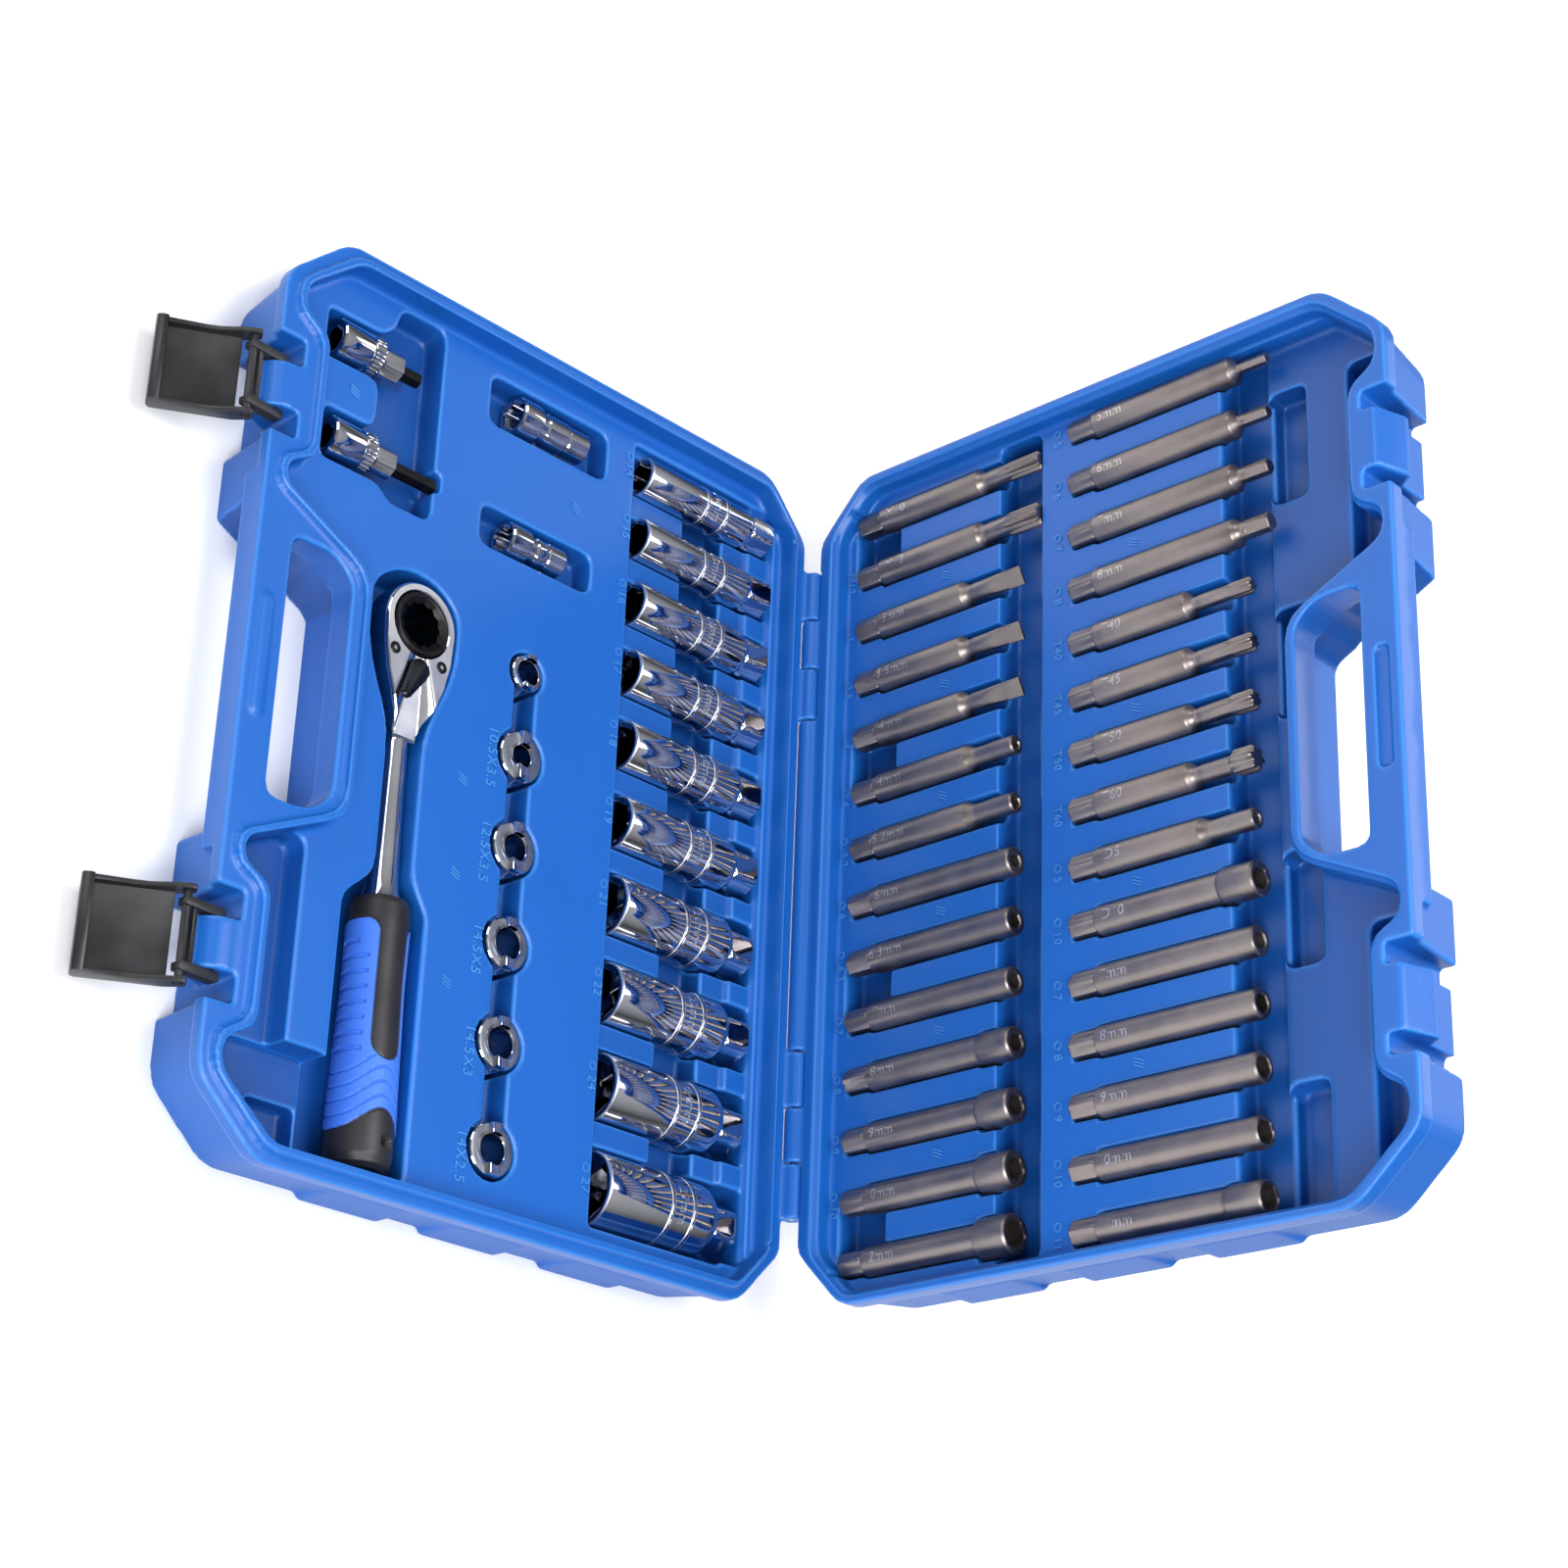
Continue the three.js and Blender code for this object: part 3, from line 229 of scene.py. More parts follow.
def moulded_half(node, name, in_lid, body):
    """One half remade soft, marked for grain, a painted edge highlight and painted shade deep in."""
    half = welded_copy(node, name)
    remesh = half.modifiers.new("skin", "REMESH")
    remesh.mode = "VOXEL"
    remesh.voxel_size = 0.00105
    remesh.use_smooth_shade = True
    soften = half.modifiers.new("soften", "SMOOTH")
    soften.factor = 0.5
    soften.iterations = 4
    settled(half)
    triangles = 2 * len(half.data.polygons)
    if triangles > MOST_TRIANGLES:
        thin = half.modifiers.new("thin", "DECIMATE")
        thin.ratio = MOST_TRIANGLES / triangles
        settled(half)
    mesh = half.data
    marks = {"outside": [], "edge": [], "deep": []}
    work = bmesh.new()
    work.from_mesh(mesh)
    for vert in work.verts:
        x, u, z = tray_place(vert.co, in_lid)
        normal_u = vert.normal.z if in_lid else -vert.normal.y
        normal_z = -vert.normal.y if in_lid else vert.normal.z
        outward = vert.normal.x * x / HALF_WIDTH + normal_u * (u - MIDDLE_U) / HALF_LENGTH
        grained = z < -FLANGE_DEPTH and (normal_z < -0.6 or outward > 0.55)
        marks["outside"].append(1.0 if grained else 0.0)
        # Painted shade mark: grows from 12.5 to 21 mm below the hinge plane, on faces that are not
        # grained and do not look down.
        marks["deep"].append(smooth_step(-12.5, -21, z) if normal_z > -0.5 and not grained else 0.0)
        # Painted highlight mark: the sharper a convex edge bends, the paler it is painted.
        sharpest = max((edge.calc_face_angle_signed(0.0) for edge in vert.link_edges), default=0.0)
        marks["edge"].append(min(max((sharpest - 0.12) * 2.2, 0.0), 1.0))
    work.free()
    for mark, values in marks.items():
        mesh.attributes.new(mark, "FLOAT", "POINT").data.foreach_set("value", values)
    mesh.materials.clear()
    mesh.materials.append(case_blue)
    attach(half, body)
    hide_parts(node)


moulded_half("case_base", "case_base_moulding", False, "base")
moulded_half("case_lid", "case_lid_moulding", True, "lid")


# ---- Raised size marks ---------------------------------------------------------------------
# Sizes beside every pocket, moulded in one with the deck and standing just proud of it,
# with groups of three slanting strokes between the columns. They are coloured paler than the
# deck as a painted highlight for their lit faces.

MARK_HEIGHT = 0.9
# Painted highlight: the paler of the two blues of the marks.
MARK_HIGHLIGHT = (0.06, 0.27, 0.66, 1)
DECK_Z = -11
HEX_SIGN = 4.6
HEX_SIGN_BAND = 0.55


def mottled_finish(name, patch_scale, tooth_scale, stops, rough, strength, distance, metallic=0.0):
    """Colour and gloss that drift from patch to patch, over a fine tooth."""
    material, tree, shader, mottle = finish_nodes(name, patch_scale, tooth_scale)
    colour = ramp(tree, mottle.outputs["Patch"], stops)
    tree.links.new(colour.outputs["Color"], shader.inputs["Base Color"])
    gloss = spread(tree, mottle.outputs["Patch"], *rough, 0.3, 0.7)
    tree.links.new(gloss, shader.inputs["Roughness"])
    shader.inputs["Metallic"].default_value = metallic
    bumped(tree, shader, mottle.outputs["Tooth"], strength, distance)
    return material


def plastic_finish(name, base, worn, rough, strength):
    stops = [(0.35, base), (0.8, worn)]
    return mottled_finish(name, 45.0, 1500.0, stops, rough, strength, 0.0001)


# Painted highlight: the marks are the deck's own blue plastic, coloured paler than the deck to stand for
# their lit faces.
mark_highlight_blue = plastic_finish("mark_highlight_blue", (0.045, 0.22, 0.6, 1), MARK_HIGHLIGHT, (0.3, 0.4), 0.1)


def lettering(text, size, thickness):
    """Flat letters as a closed mesh, in millimetres, centred on the origin."""
    curve = bpy.data.curves.new("letters", "FONT")
    curve.body = text
    curve.size = size
    curve.extrude = thickness / 2
    curve.resolution_u = 2
    curve.align_x = "CENTER"
    curve.align_y = "CENTER"
    curve.space_character = 1.05
    carrier = object_of("letters", curve)
    graph = bpy.context.evaluated_depsgraph_get()
    mesh = bpy.data.meshes.new_from_object(carrier.evaluated_get(graph))
    bpy.data.objects.remove(carrier)
    bpy.data.curves.remove(curve)
    return mesh


def add_mesh(work, mesh, place):
    """Puts a mesh's faces into the bmesh, with each point moved by place."""
    before = len(work.verts)
    work.from_mesh(mesh)
    work.verts.ensure_lookup_table()
    for vert in work.verts[before:]:
        vert.co = place(vert.co)
    bpy.data.meshes.remove(mesh)


def hexagon_sign(across):
    """A hexagon drawn as a thin closed band."""
    work = bmesh.new()
    outer, inner, half = across / 2, across / 2 - HEX_SIGN_BAND, MARK_HEIGHT / 2
    turns = [i * math.pi / 3 for i in range(6)]
    loops = [[work.verts.new((radius * math.cos(a), radius * math.sin(a), z)) for a in turns]
             for radius, z in ((outer, -half), (outer, half), (inner, half), (inner, -half))]
    for lower, upper in zip(loops, loops[1:] + loops[:1]):
        for i in range(6):
            j = (i + 1) % 6
            work.faces.new((lower[i], lower[j], upper[j], upper[i]))
    return mesh_of(work, "hexagon_sign")


def bars_group():
    """Geometry nodes: one small bar, of a given size and turn, on every point."""
    group = bpy.data.node_groups.new("bars_at_points", "GeometryNodeTree")
    for name, kind in (("Points", "Geometry"), ("Bar Size", "Vector"), ("Bar Turn", "Vector"),
                       ("Finish", "Material")):
        group.interface.new_socket(name, in_out="INPUT", socket_type="NodeSocket" + kind)
    group.interface.new_socket("Bars", in_out="OUTPUT", socket_type="NodeSocketGeometry")
    nodes, links = group.nodes, group.links
    entry = nodes.new("NodeGroupInput")
    points = nodes.new("GeometryNodeMeshToPoints")
    bar = nodes.new("GeometryNodeMeshCube")
    copies = nodes.new("GeometryNodeInstanceOnPoints")
    real = nodes.new("GeometryNodeRealizeInstances")
    finish = nodes.new("GeometryNodeSetMaterial")
    leave = nodes.new("NodeGroupOutput")
    for source, output, target, given in (
            (entry, "Points", points, "Mesh"), (entry, "Bar Size", bar, "Size"),
            (points, "Points", copies, "Points"), (bar, "Mesh", copies, "Instance"),
            (entry, "Bar Turn", copies, "Rotation"), (copies, "Instances", real, "Geometry"),
            (real, "Geometry", finish, "Geometry"), (entry, "Finish", finish, "Material"),
            (finish, "Geometry", leave, "Bars")):
        links.new(source.outputs[output], target.inputs[given])
    return group


bars_at_points = bars_group()


def bars(name, places, size, turn, finish):
    """Bars of one size, in millimetres, on a list of places, with their edges rounded."""
    mesh = bpy.data.meshes.new(name)
    mesh.from_pydata(places, [], [])
    obj = object_of(name, mesh)
    copier = obj.modifiers.new("copies", "NODES")
    copier.node_group = bars_at_points
    values = {"Bar Size": [v * MM for v in size], "Bar Turn": turn, "Finish": finish}
    for socket in bars_at_points.interface.items_tree:
        if socket.name in values:
            copier[socket.identifier] = values[socket.name]
    rounding = obj.modifiers.new("round", "BEVEL")
    rounding.width = min(size) * 0.22 * MM
    rounding.segments = 2
    settled(obj)
    return obj


def slanting_strokes(name, stroke_places, deck, in_lid, body):
    """Groups of three strokes: each place is a group's middle."""
    point = lid_point if in_lid else base_point
    places = [point(x + shift, u, deck) for x, u in stroke_places for shift in (-1.6, 0, 1.6)]
    lean = math.radians(24)
    size = (0.6, MARK_HEIGHT, 5.6) if in_lid else (0.6, 5.6, MARK_HEIGHT)
    turn = (0, lean, 0) if in_lid else (0, 0, -lean)
    made = bars(name, places, size, turn, mark_highlight_blue)
    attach(made, body)


def deck_marks(name, entries, stroke_places, in_lid, body):
    """All marks of one deck. Letters stand with their tops away from the person in front."""
    work = bmesh.new()
    deck = DECK_Z + MARK_HEIGHT / 2 - 0.12
    up = 1 if in_lid else -1
    point = lid_point if in_lid else base_point
    for text, x, u, size, sign in entries:
        shift = HEX_SIGN / 2 + 0.6 if sign else 0.0
        add_mesh(work, lettering(text, size, MARK_HEIGHT),
                 lambda co, x=x, u=u, s=shift: point(x + co.x + s, u + up * co.y, deck + co.z))
        if sign:
            reach = 0.31 * size * len(text)
            add_mesh(work, hexagon_sign(HEX_SIGN),
                     lambda co, x=x, u=u, r=reach: point(x + co.x - r - 0.8, u + up * co.y,
                                                         deck + co.z))
    slanting_strokes(name + "_strokes", stroke_places, deck, in_lid, body)
    bmesh.ops.recalc_face_normals(work, faces=work.faces)
    mesh = mesh_of(work, name)
    mesh.materials.append(mark_highlight_blue)
    marks = object_of(name, mesh)
    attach(marks, body)


SOCKET_SIZES = [(14, 21), (15, 22), (16, 23.5), (17, 24.5), (18, 26),
                (19, 27.5), (21, 30.5), (22, 31), (24, 33.5), (27, 36.5)]
SOCKET_BETWEEN = 13.6
SOCKET_FIRST_X = -189


def socket_centres():
    x = SOCKET_FIRST_X
    centres = []
    for i, (size, diameter) in enumerate(SOCKET_SIZES):
        if i:
            x += SOCKET_SIZES[i - 1][1] / 2 + diameter / 2 + SOCKET_BETWEEN
        centres.append((size, diameter, x))
    return centres


SPIGOT_MARKS = [("10.5X3.5", -3), ("12.5X3.5", 44), ("14.5X5", 91.5), ("14.5X3", 139.5),
                ("14X2.5", 188)]
INNER_SIZES = ["M10", "M12", "3", "3.5", "4", "4", "5.2", "6", "6.3", "7", "8", "9", "10", "12"]
OUTER_SIZES = ["5", "6", "7", "8", "T40", "T45", "T50", "T60", "5", "10", "7", "8", "9", "10",
               "11"]
INNER_PITCH = 30.4
OUTER_PITCH = 29.14

base_entries = [(str(size), x, 126, 7.2, True) for size, _, x in socket_centres()]
base_entries += [(text, x, 201, 8.0, False) for text, x in SPIGOT_MARKS]
deck_marks("base_size_marks", base_entries,
           [(-150, 160), (14, 217), (60, 217), (-152, 300), (112, 217)], False, "base")

lid_entries = []
for i, text in enumerate(INNER_SIZES):
    sign = i >= 5
    words = ("-" + text) if text in ("3", "3.5") or i == 4 else text
    lid_entries.append((words, (i - 6.5) * INNER_PITCH, 17.5, 6.4, sign))
for i, text in enumerate(OUTER_SIZES):
    lid_entries.append((text, (i - 7) * OUTER_PITCH, 154, 6.4, not text.startswith("T")))
lid_strokes = [((i - 6) * INNER_PITCH, 82) for i in range(1, 13, 2)]
lid_strokes += [((i - 6.5) * OUTER_PITCH, 200) for i in range(2, 14, 3)]
deck_marks("lid_size_marks", lid_entries, lid_strokes, True, "lid")


# ---- Hinge pins ----------------------------------------------------------------------------
# Bright drawn wire through the knuckles of both halves: one cropped length in each group of
# knuckles, with its ends slightly rounded.

WIRE_RADIUS = 1.55
WIRE_ENDS = [(-173.4, -89.6), (89.6, 173.4)]


def ring_skin(name, rings, count, joined_ends=False):
    """A skin through rings of points, each ring count points long, in millimetres."""
    work = bmesh.new()
    loops = [[work.verts.new(Vector(p) * MM) for p in ring] for ring in rings]
    pairs = list(zip(loops, loops[1:]))
    if joined_ends:
        pairs.append((loops[-1], loops[0]))
    for lower, upper in pairs:
        for i in range(count):
            j = (i + 1) % count
            work.faces.new((lower[i], lower[j], upper[j], upper[i]))
    if not joined_ends:
        work.faces.new(loops[0][::-1])
        work.faces.new(loops[-1])
    bmesh.ops.recalc_face_normals(work, faces=work.faces)
    mesh = mesh_of(work, name)
    mesh.polygons.foreach_set("use_smooth", [True] * len(mesh.polygons))
    mesh.set_sharp_from_angle(angle=math.radians(32))
    return mesh


def merged(name, meshes):
    """One mesh of several, which are used up."""
    work = bmesh.new()
    for mesh in meshes:
        work.from_mesh(mesh)
        bpy.data.meshes.remove(mesh)
    return mesh_of(work, name)


def steel_finish(name, base, deep, rough, tooth, strength):
    stops = [(0.3, deep), (0.7, base)]
    return mottled_finish(name, 60.0, tooth, stops, rough, strength, 0.00006, 1.0)


bright_wire = steel_finish("bright_wire", (0.56, 0.56, 0.57, 1), (0.4, 0.4, 0.42, 1),
                           (0.22, 0.36), 2400.0, 0.3)


def pin_skin(start, end):
    stations = ((start, 0.9), (start + 0.5, WIRE_RADIUS), (end - 0.5, WIRE_RADIUS), (end, 0.9))
    return ring_skin("pin", [
        [(x, HINGE_Y + radius * math.cos(a * math.pi / 16),
          HINGE_Z + radius * math.sin(a * math.pi / 16)) for a in range(32)]
        for x, radius in stations], 32)


def hinge_pins():
    mesh = merged("hinge_pins", [pin_skin(start, end) for start, end in WIRE_ENDS])
    mesh.materials.append(bright_wire)
    pins = object_of("hinge_pins", mesh)
    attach(pins, "base")
    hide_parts("hinge_pin")


hinge_pins()


# ---- Latches -------------------------------------------------------------------------------
# Each latch is two black injection-moulded pieces: a link on the boss of the base, and a tray
# shaped lever with a rolled bar that hooks over the catch of the lid.

BLACK = (0.012, 0.012, 0.014, 1)
BLACK_WORN = (0.03, 0.03, 0.034, 1)
LATCH_ROUNDING = 0.5

latch_black = plastic_finish("latch_black", BLACK, BLACK_WORN, (0.3, 0.46), 0.18)


def softened(node, name, width):
    """A frame node remade with rounded edges: flats merged, then a narrow bevel."""
    piece = welded_copy(node, name)
    work = bmesh.new()
    work.from_mesh(piece.data)
    bmesh.ops.dissolve_limit(work, angle_limit=math.radians(1), verts=work.verts, edges=work.edges)
    work.to_mesh(piece.data)
    work.free()
    bevel = piece.modifiers.new("round", "BEVEL")
    bevel.width = width * MM
    bevel.segments = 2
    bevel.limit_method = "ANGLE"
    bevel.angle_limit = math.radians(28)
    settled(piece)
    piece.data.polygons.foreach_set("use_smooth", [True] * len(piece.data.polygons))
    piece.data.set_sharp_from_angle(angle=math.radians(40))
    return piece


for side in ("left", "right"):
    for part in ("link", "lever"):
        piece = softened(f"latch_{part}_{side}", f"latch_{part}_{side}_moulding", LATCH_ROUNDING)
        piece.data.materials.append(latch_black)
        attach(piece, f"{part}_{side}")
        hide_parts(f"latch_{part}_{side}")


# ---- Deep sockets --------------------------------------------------------------------------
# Ten long sockets in mirror chrome over steel. Each has a hexagon on its tail for a ring spanner,
# a rounded shoulder, two turned grooves that frame the stamped size, and a hexagon mouth.

SOCKET_TOP = -4.5
SOCKET_TAIL = 25
SOCKET_LENGTH = 90
TAIL_HEX_MOST = 22.5
TAIL_LENGTH = 15
THROUGH_RADIUS = 7.2
SOCKET_GROOVES = (35.5, 49.5)
GROOVE_PROFILE = [(-1.3, 0), (-1.0, 0.25), (-0.5, 0.25), (-0.3, -0.35), (0.3, -0.35), (0.5, 0.25),
                  (1.0, 0.25), (1.3, 0)]
SHOULDER_STEPS = 6
STAMP_SIZE = 7.4
STAMP_THICKNESS = 0.12
STAMP_LIFT = 0.03

mirror_chrome = mottled_finish("mirror_chrome", 35.0, 260.0,
                               [(0.3, (0.52, 0.53, 0.57, 1)), (0.7, (0.64, 0.65, 0.69, 1))],
                               (0.03, 0.1), 0.05, 0.0001, 1.0)
satin_chrome = steel_finish("satin_chrome", (0.8, 0.8, 0.82, 1), (0.68, 0.68, 0.7, 1),
                            (0.3, 0.4), 900.0, 0.12)


def turned_ring(y, radius, sides=0, corner=1.0, flute=None, count=72):
    """Points round the y axis: round, many-sided with trimmed corners, or fluted."""
    points = []
    for i in range(count):
        angle = 2 * math.pi * i / count
        r = flute(angle, radius) if flute else radius
        if sides:
            wedge = 2 * math.pi / sides
            off = (angle + wedge / 2) % wedge - wedge / 2
            r = min(radius * math.cos(wedge / 2) / math.cos(wedge / 2 - abs(off)), radius * corner)
        points.append((r * math.cos(angle), y, r * math.sin(angle)))
    return points


def turned_rings(profile, count=72):
    """A ring for each (y, radius, sides, corner, flute) of a profile; only the first two are a must."""
    return [turned_ring(*entry, count=count) for entry in profile]


def turned_in_base(rings, x, u, z, name, count=72):
    """A turned piece lying in the base, tail towards the hinge and mouth towards the handle."""
    placed = [[(x + px, HINGE_Y - u - py, HINGE_Z + z + pz) for px, py, pz in ring]
              for ring in rings]
    return object_of(name, ring_skin(name, placed, count, joined_ends=True))


def hex_radius(across):
    return across / 2 / math.cos(math.pi / 6)


def socket_rings(size, radius):
    across = min(TAIL_HEX_MOST, 0.9 * radius + 9)
    hexagon = hex_radius(across)
    bore = hex_radius(size + 0.2)
    flat = min(radius, across / 2 + 0.4)
    rise = radius - flat
    profile = [(0, THROUGH_RADIUS), (0, across / 2 - 0.6), (0.5, hexagon, 6, 0.95),
               (1.4, hexagon, 6, 0.985), (TAIL_LENGTH - 0.8, hexagon, 6, 0.985),
               (TAIL_LENGTH, hexagon, 6, 0.93), (TAIL_LENGTH + 0.3, flat)]
    for i in range(1, SHOULDER_STEPS + 1):
        angle = math.pi / 2 * i / SHOULDER_STEPS
        profile.append((TAIL_LENGTH + 1.0 + (rise + 2) * (1 - math.cos(angle)),
                        flat + rise * math.sin(angle)))
    for groove in SOCKET_GROOVES:
        profile += [(groove + offset, radius + bead) for offset, bead in GROOVE_PROFILE]
    profile += [(SOCKET_LENGTH - 1.0, radius), (SOCKET_LENGTH - 0.3, radius - 0.35),
                (SOCKET_LENGTH, radius - 1.0), (SOCKET_LENGTH, min(radius - 1.1, bore + 0.5)),
                (SOCKET_LENGTH - 1.2, bore, 6), (SOCKET_LENGTH - 27, bore, 6),
                (SOCKET_LENGTH - 29, THROUGH_RADIUS)]
    return turned_rings(profile)


def polished_rims(mesh, x, height, radius):
    """Gives the size band's beads and the rounded mouth edge the brighter, softer finish."""
    mouth = (HINGE_Y - SOCKET_TAIL - SOCKET_LENGTH + 0.9) * MM
    axis = (x * MM, (HINGE_Z + height) * MM)
    for face in mesh.polygons:
        away = math.hypot(face.center.x - axis[0], face.center.z - axis[1]) / MM
        if away > radius + 0.08 or (face.center.y < mouth and away > radius - 1.1):
            face.material_index = 1


def size_stamp(name, text, radius, centre, along, finish):
    """A stamped size bent round a tool. along gives how its letters run."""
    mesh = lettering(text, STAMP_SIZE, STAMP_THICKNESS)
    work = bmesh.new()
    work.from_mesh(mesh)
    bpy.data.meshes.remove(mesh)
    bmesh.ops.triangulate(work, faces=work.faces)
    for vert in work.verts:
        vert.co = along(vert.co, radius + STAMP_LIFT, centre)
    bmesh.ops.recalc_face_normals(work, faces=work.faces)
    out = mesh_of(work, name)
    out.materials.append(finish)
    return object_of(name, out)


def around_socket(co, radius, centre):
    """Letters run round the socket, tops towards the hinge."""
    angle = co.x / radius
    x, u, z = centre
    r = radius + co.z
    return base_point(x + r * math.sin(angle), u - co.y, z + r * math.cos(angle))


for size, diameter, x in socket_centres():
    radius = diameter / 2
    height = SOCKET_TOP - radius
    piece = turned_in_base(socket_rings(size, radius), x, SOCKET_TAIL, height,
                           f"deep_socket_{size}mm")
    piece.data.materials.append(mirror_chrome)
    piece.data.materials.append(satin_chrome)
    polished_rims(piece.data, x, height, radius)
    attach(piece, f"socket_{size}mm")
    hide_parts(f"socket_{size}mm")
    stamp = size_stamp(f"socket_stamp_{size}mm", f"{size}mm", radius,
                       (x, SOCKET_TAIL + sum(SOCKET_GROOVES) / 2, height), around_socket, satin_chrome)
    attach(stamp, f"socket_{size}mm")


# ---- Bit sockets and adapters --------------------------------------------------------------
# Two short sockets with a black hexagon bit pressed into a hexagon collar and a knurled ring,
# and two drive adapters with turned waists.

BIT_SOCKETS = [("short", -177, 260.5, 51.5), ("long", -126, 246.5, 65)]
ADAPTERS = [("large", -186, 155.5, 45, 10.2, 8.2, 14), ("small", -118.4, 165, 36, 9, 7.6, 12)]
LYING_HEIGHT = -15.5
KNURL_TEETH = 30
KNURL_DEPTH = 0.6
BIT_SOCKET_RADIUS = 10.3
CHROME_LENGTH = 38.6
HEX_TIP = 4.0


def knurl(angle, radius):
    return radius - KNURL_DEPTH * (0.5 - 0.5 * math.cos(KNURL_TEETH * angle))


def bit_socket_rings(length):
    collar = hex_radius(14)
    back = length - CHROME_LENGTH
    body = BIT_SOCKET_RADIUS
    return turned_rings([
        (0, 0.01), (0, HEX_TIP - 0.7, 6), (0.7, HEX_TIP, 6, 0.98), (back, HEX_TIP, 6, 0.98), (back, 6.0),
        (back + 0.9, collar, 6, 0.94), (back + 11.6, collar, 6, 0.94), (back + 12.2, 6.8),
        (back + 13.4, 6.8), (back + 14.0, body - 0.7), (back + 14.6, body),
        (back + 14.9, body, 0, 1, knurl), (back + 19.7, body, 0, 1, knurl), (back + 20.0, body),
        (back + 20.4, body - 0.5), (back + 21.2, body), (length - 0.8, body), (length, body - 0.8),
        (length, 7.4), (length - 1, 7.2, 4, 0.8), (length - 17, 7.2, 4, 0.8), (length - 17, 0.01),
    ], 144)


black_steel = steel_finish("black_oxide", (0.035, 0.034, 0.036, 1), (0.02, 0.02, 0.022, 1),
                           (0.3, 0.45), 1600.0, 0.3)

for label, x, u, length in BIT_SOCKETS:
    piece = turned_in_base(bit_socket_rings(length), x, u, LYING_HEIGHT,
                           f"bit_socket_{label}_body", 144)
    piece.data.materials.append(mirror_chrome)
    piece.data.materials.append(black_steel)
    collar_y = base_point(0, u + length - CHROME_LENGTH - 0.1, 0).y
    for face in piece.data.polygons:
        if face.center.y > collar_y:
            face.material_index = 1
    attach(piece, f"bit_socket_{label}")
    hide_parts(f"bit_socket_{label}")


def adapter_rings(length, radius, neck, neck_length):
    bore = radius - 2.6
    waist = radius - 1.5
    return turned_rings([
        (0, 0.01), (0, neck - 1.0), (1.0, neck), (neck_length - 1.4, neck),
        (neck_length - 0.7, neck - 0.5), (neck_length + 0.2, neck - 0.5), (neck_length + 1.0, waist),
        (length - 18, waist), (length - 17, waist - 0.8), (length - 13.6, waist - 0.8),
        (length - 12.4, radius - 0.3), (length - 9, radius), (length - 1.0, radius),
        (length, radius - 0.9), (length, bore + 0.6), (length - 0.9, bore, 6, 0.96),
        (length - 14, bore, 6, 0.96), (length - 14, 0.01),
    ])


for label, x, u, length, radius, neck, neck_length in ADAPTERS:
    piece = turned_in_base(adapter_rings(length, radius, neck, neck_length), x, u, LYING_HEIGHT,
                           f"adapter_{label}_body")
    piece.data.materials.append(mirror_chrome)
    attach(piece, f"adapter_{label}")
    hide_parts(f"adapter_{label}")


# ---- Strut spigots -------------------------------------------------------------------------
# Six bored drums standing on end in round pockets, each with two driving lugs across its upper
# face. The walls and lugs are chromed, with a shallow groove turned round each wall, and the
# upper faces are left as turned.

SPIGOT_U = 183
SPIGOT_TOP = -7
SPIGOT_HEIGHT = 33
LUG_HEIGHT = 3.4
SPIGOTS = [("small", -52, 9, 6.4), ("10_5x3_5", -9, 12.5, 5.6), ("12_5x3_5", 37, 12.5, 6.6),
           ("14_5x5", 84, 12.5, 7.4), ("14_5x3", 131.5, 12.5, 7.4), ("14x2_5", 181, 12.5, 7.2)]


def spigot_ring(x, radius, height, count=96):
    """A level ring of a spigot, height millimetres above its foot."""
    z = HINGE_Z + SPIGOT_TOP - SPIGOT_HEIGHT + height
    return [(x + radius * math.cos(2 * math.pi * i / count),
             HINGE_Y - SPIGOT_U + radius * math.sin(2 * math.pi * i / count), z)
            for i in range(count)]


def spigot_drum(x, radius, bore):
    face = SPIGOT_HEIGHT - LUG_HEIGHT
    levels = [(bore, 0.6), (bore + 0.6, 0), (radius - 0.8, 0), (radius, 0.8), (radius, face - 6.2),
              (radius - 0.35, face - 5.8), (radius - 0.35, face - 5.0), (radius, face - 4.6),
              (radius, face - 0.7), (radius - 0.5, face - 0.1), (radius - 1.0, face),
              (bore + 1.5, face), (bore + 1.3, face + 0.55), (bore + 0.3, face + 0.55),
              (bore, face + 0.3), (bore, face - 3)]
    return ring_skin("drum", [spigot_ring(x, r, h) for r, h in levels], 96, joined_ends=True)


def lug_loop(x, side, inner, outer, half, height):
    """The outline of one lug: straight flanks between an inner and an outer arc."""
    points = []
    for radius, order in ((outer, 1), (inner, -1)):
        for i in range(9):
            y = order * half * (i / 4 - 1)
            points.append((x + side * math.sqrt(radius * radius - y * y),
                           HINGE_Y - SPIGOT_U + side * y,
                           HINGE_Z + SPIGOT_TOP - SPIGOT_HEIGHT + height))
    return points


def spigot_lugs(x, radius, bore):
    levels = [(SPIGOT_HEIGHT - LUG_HEIGHT - 1, 0), (SPIGOT_HEIGHT - 0.6, 0),
              (SPIGOT_HEIGHT - 0.15, 0.2), (SPIGOT_HEIGHT, 0.6)]
    for side in (-1, 1):
        loops = [lug_loop(x, side, bore + 0.1 + inward, radius - 0.3 - inward, 3.1 - inward, height)
                 for height, inward in levels]
        yield ring_skin("lug", loops, 18)


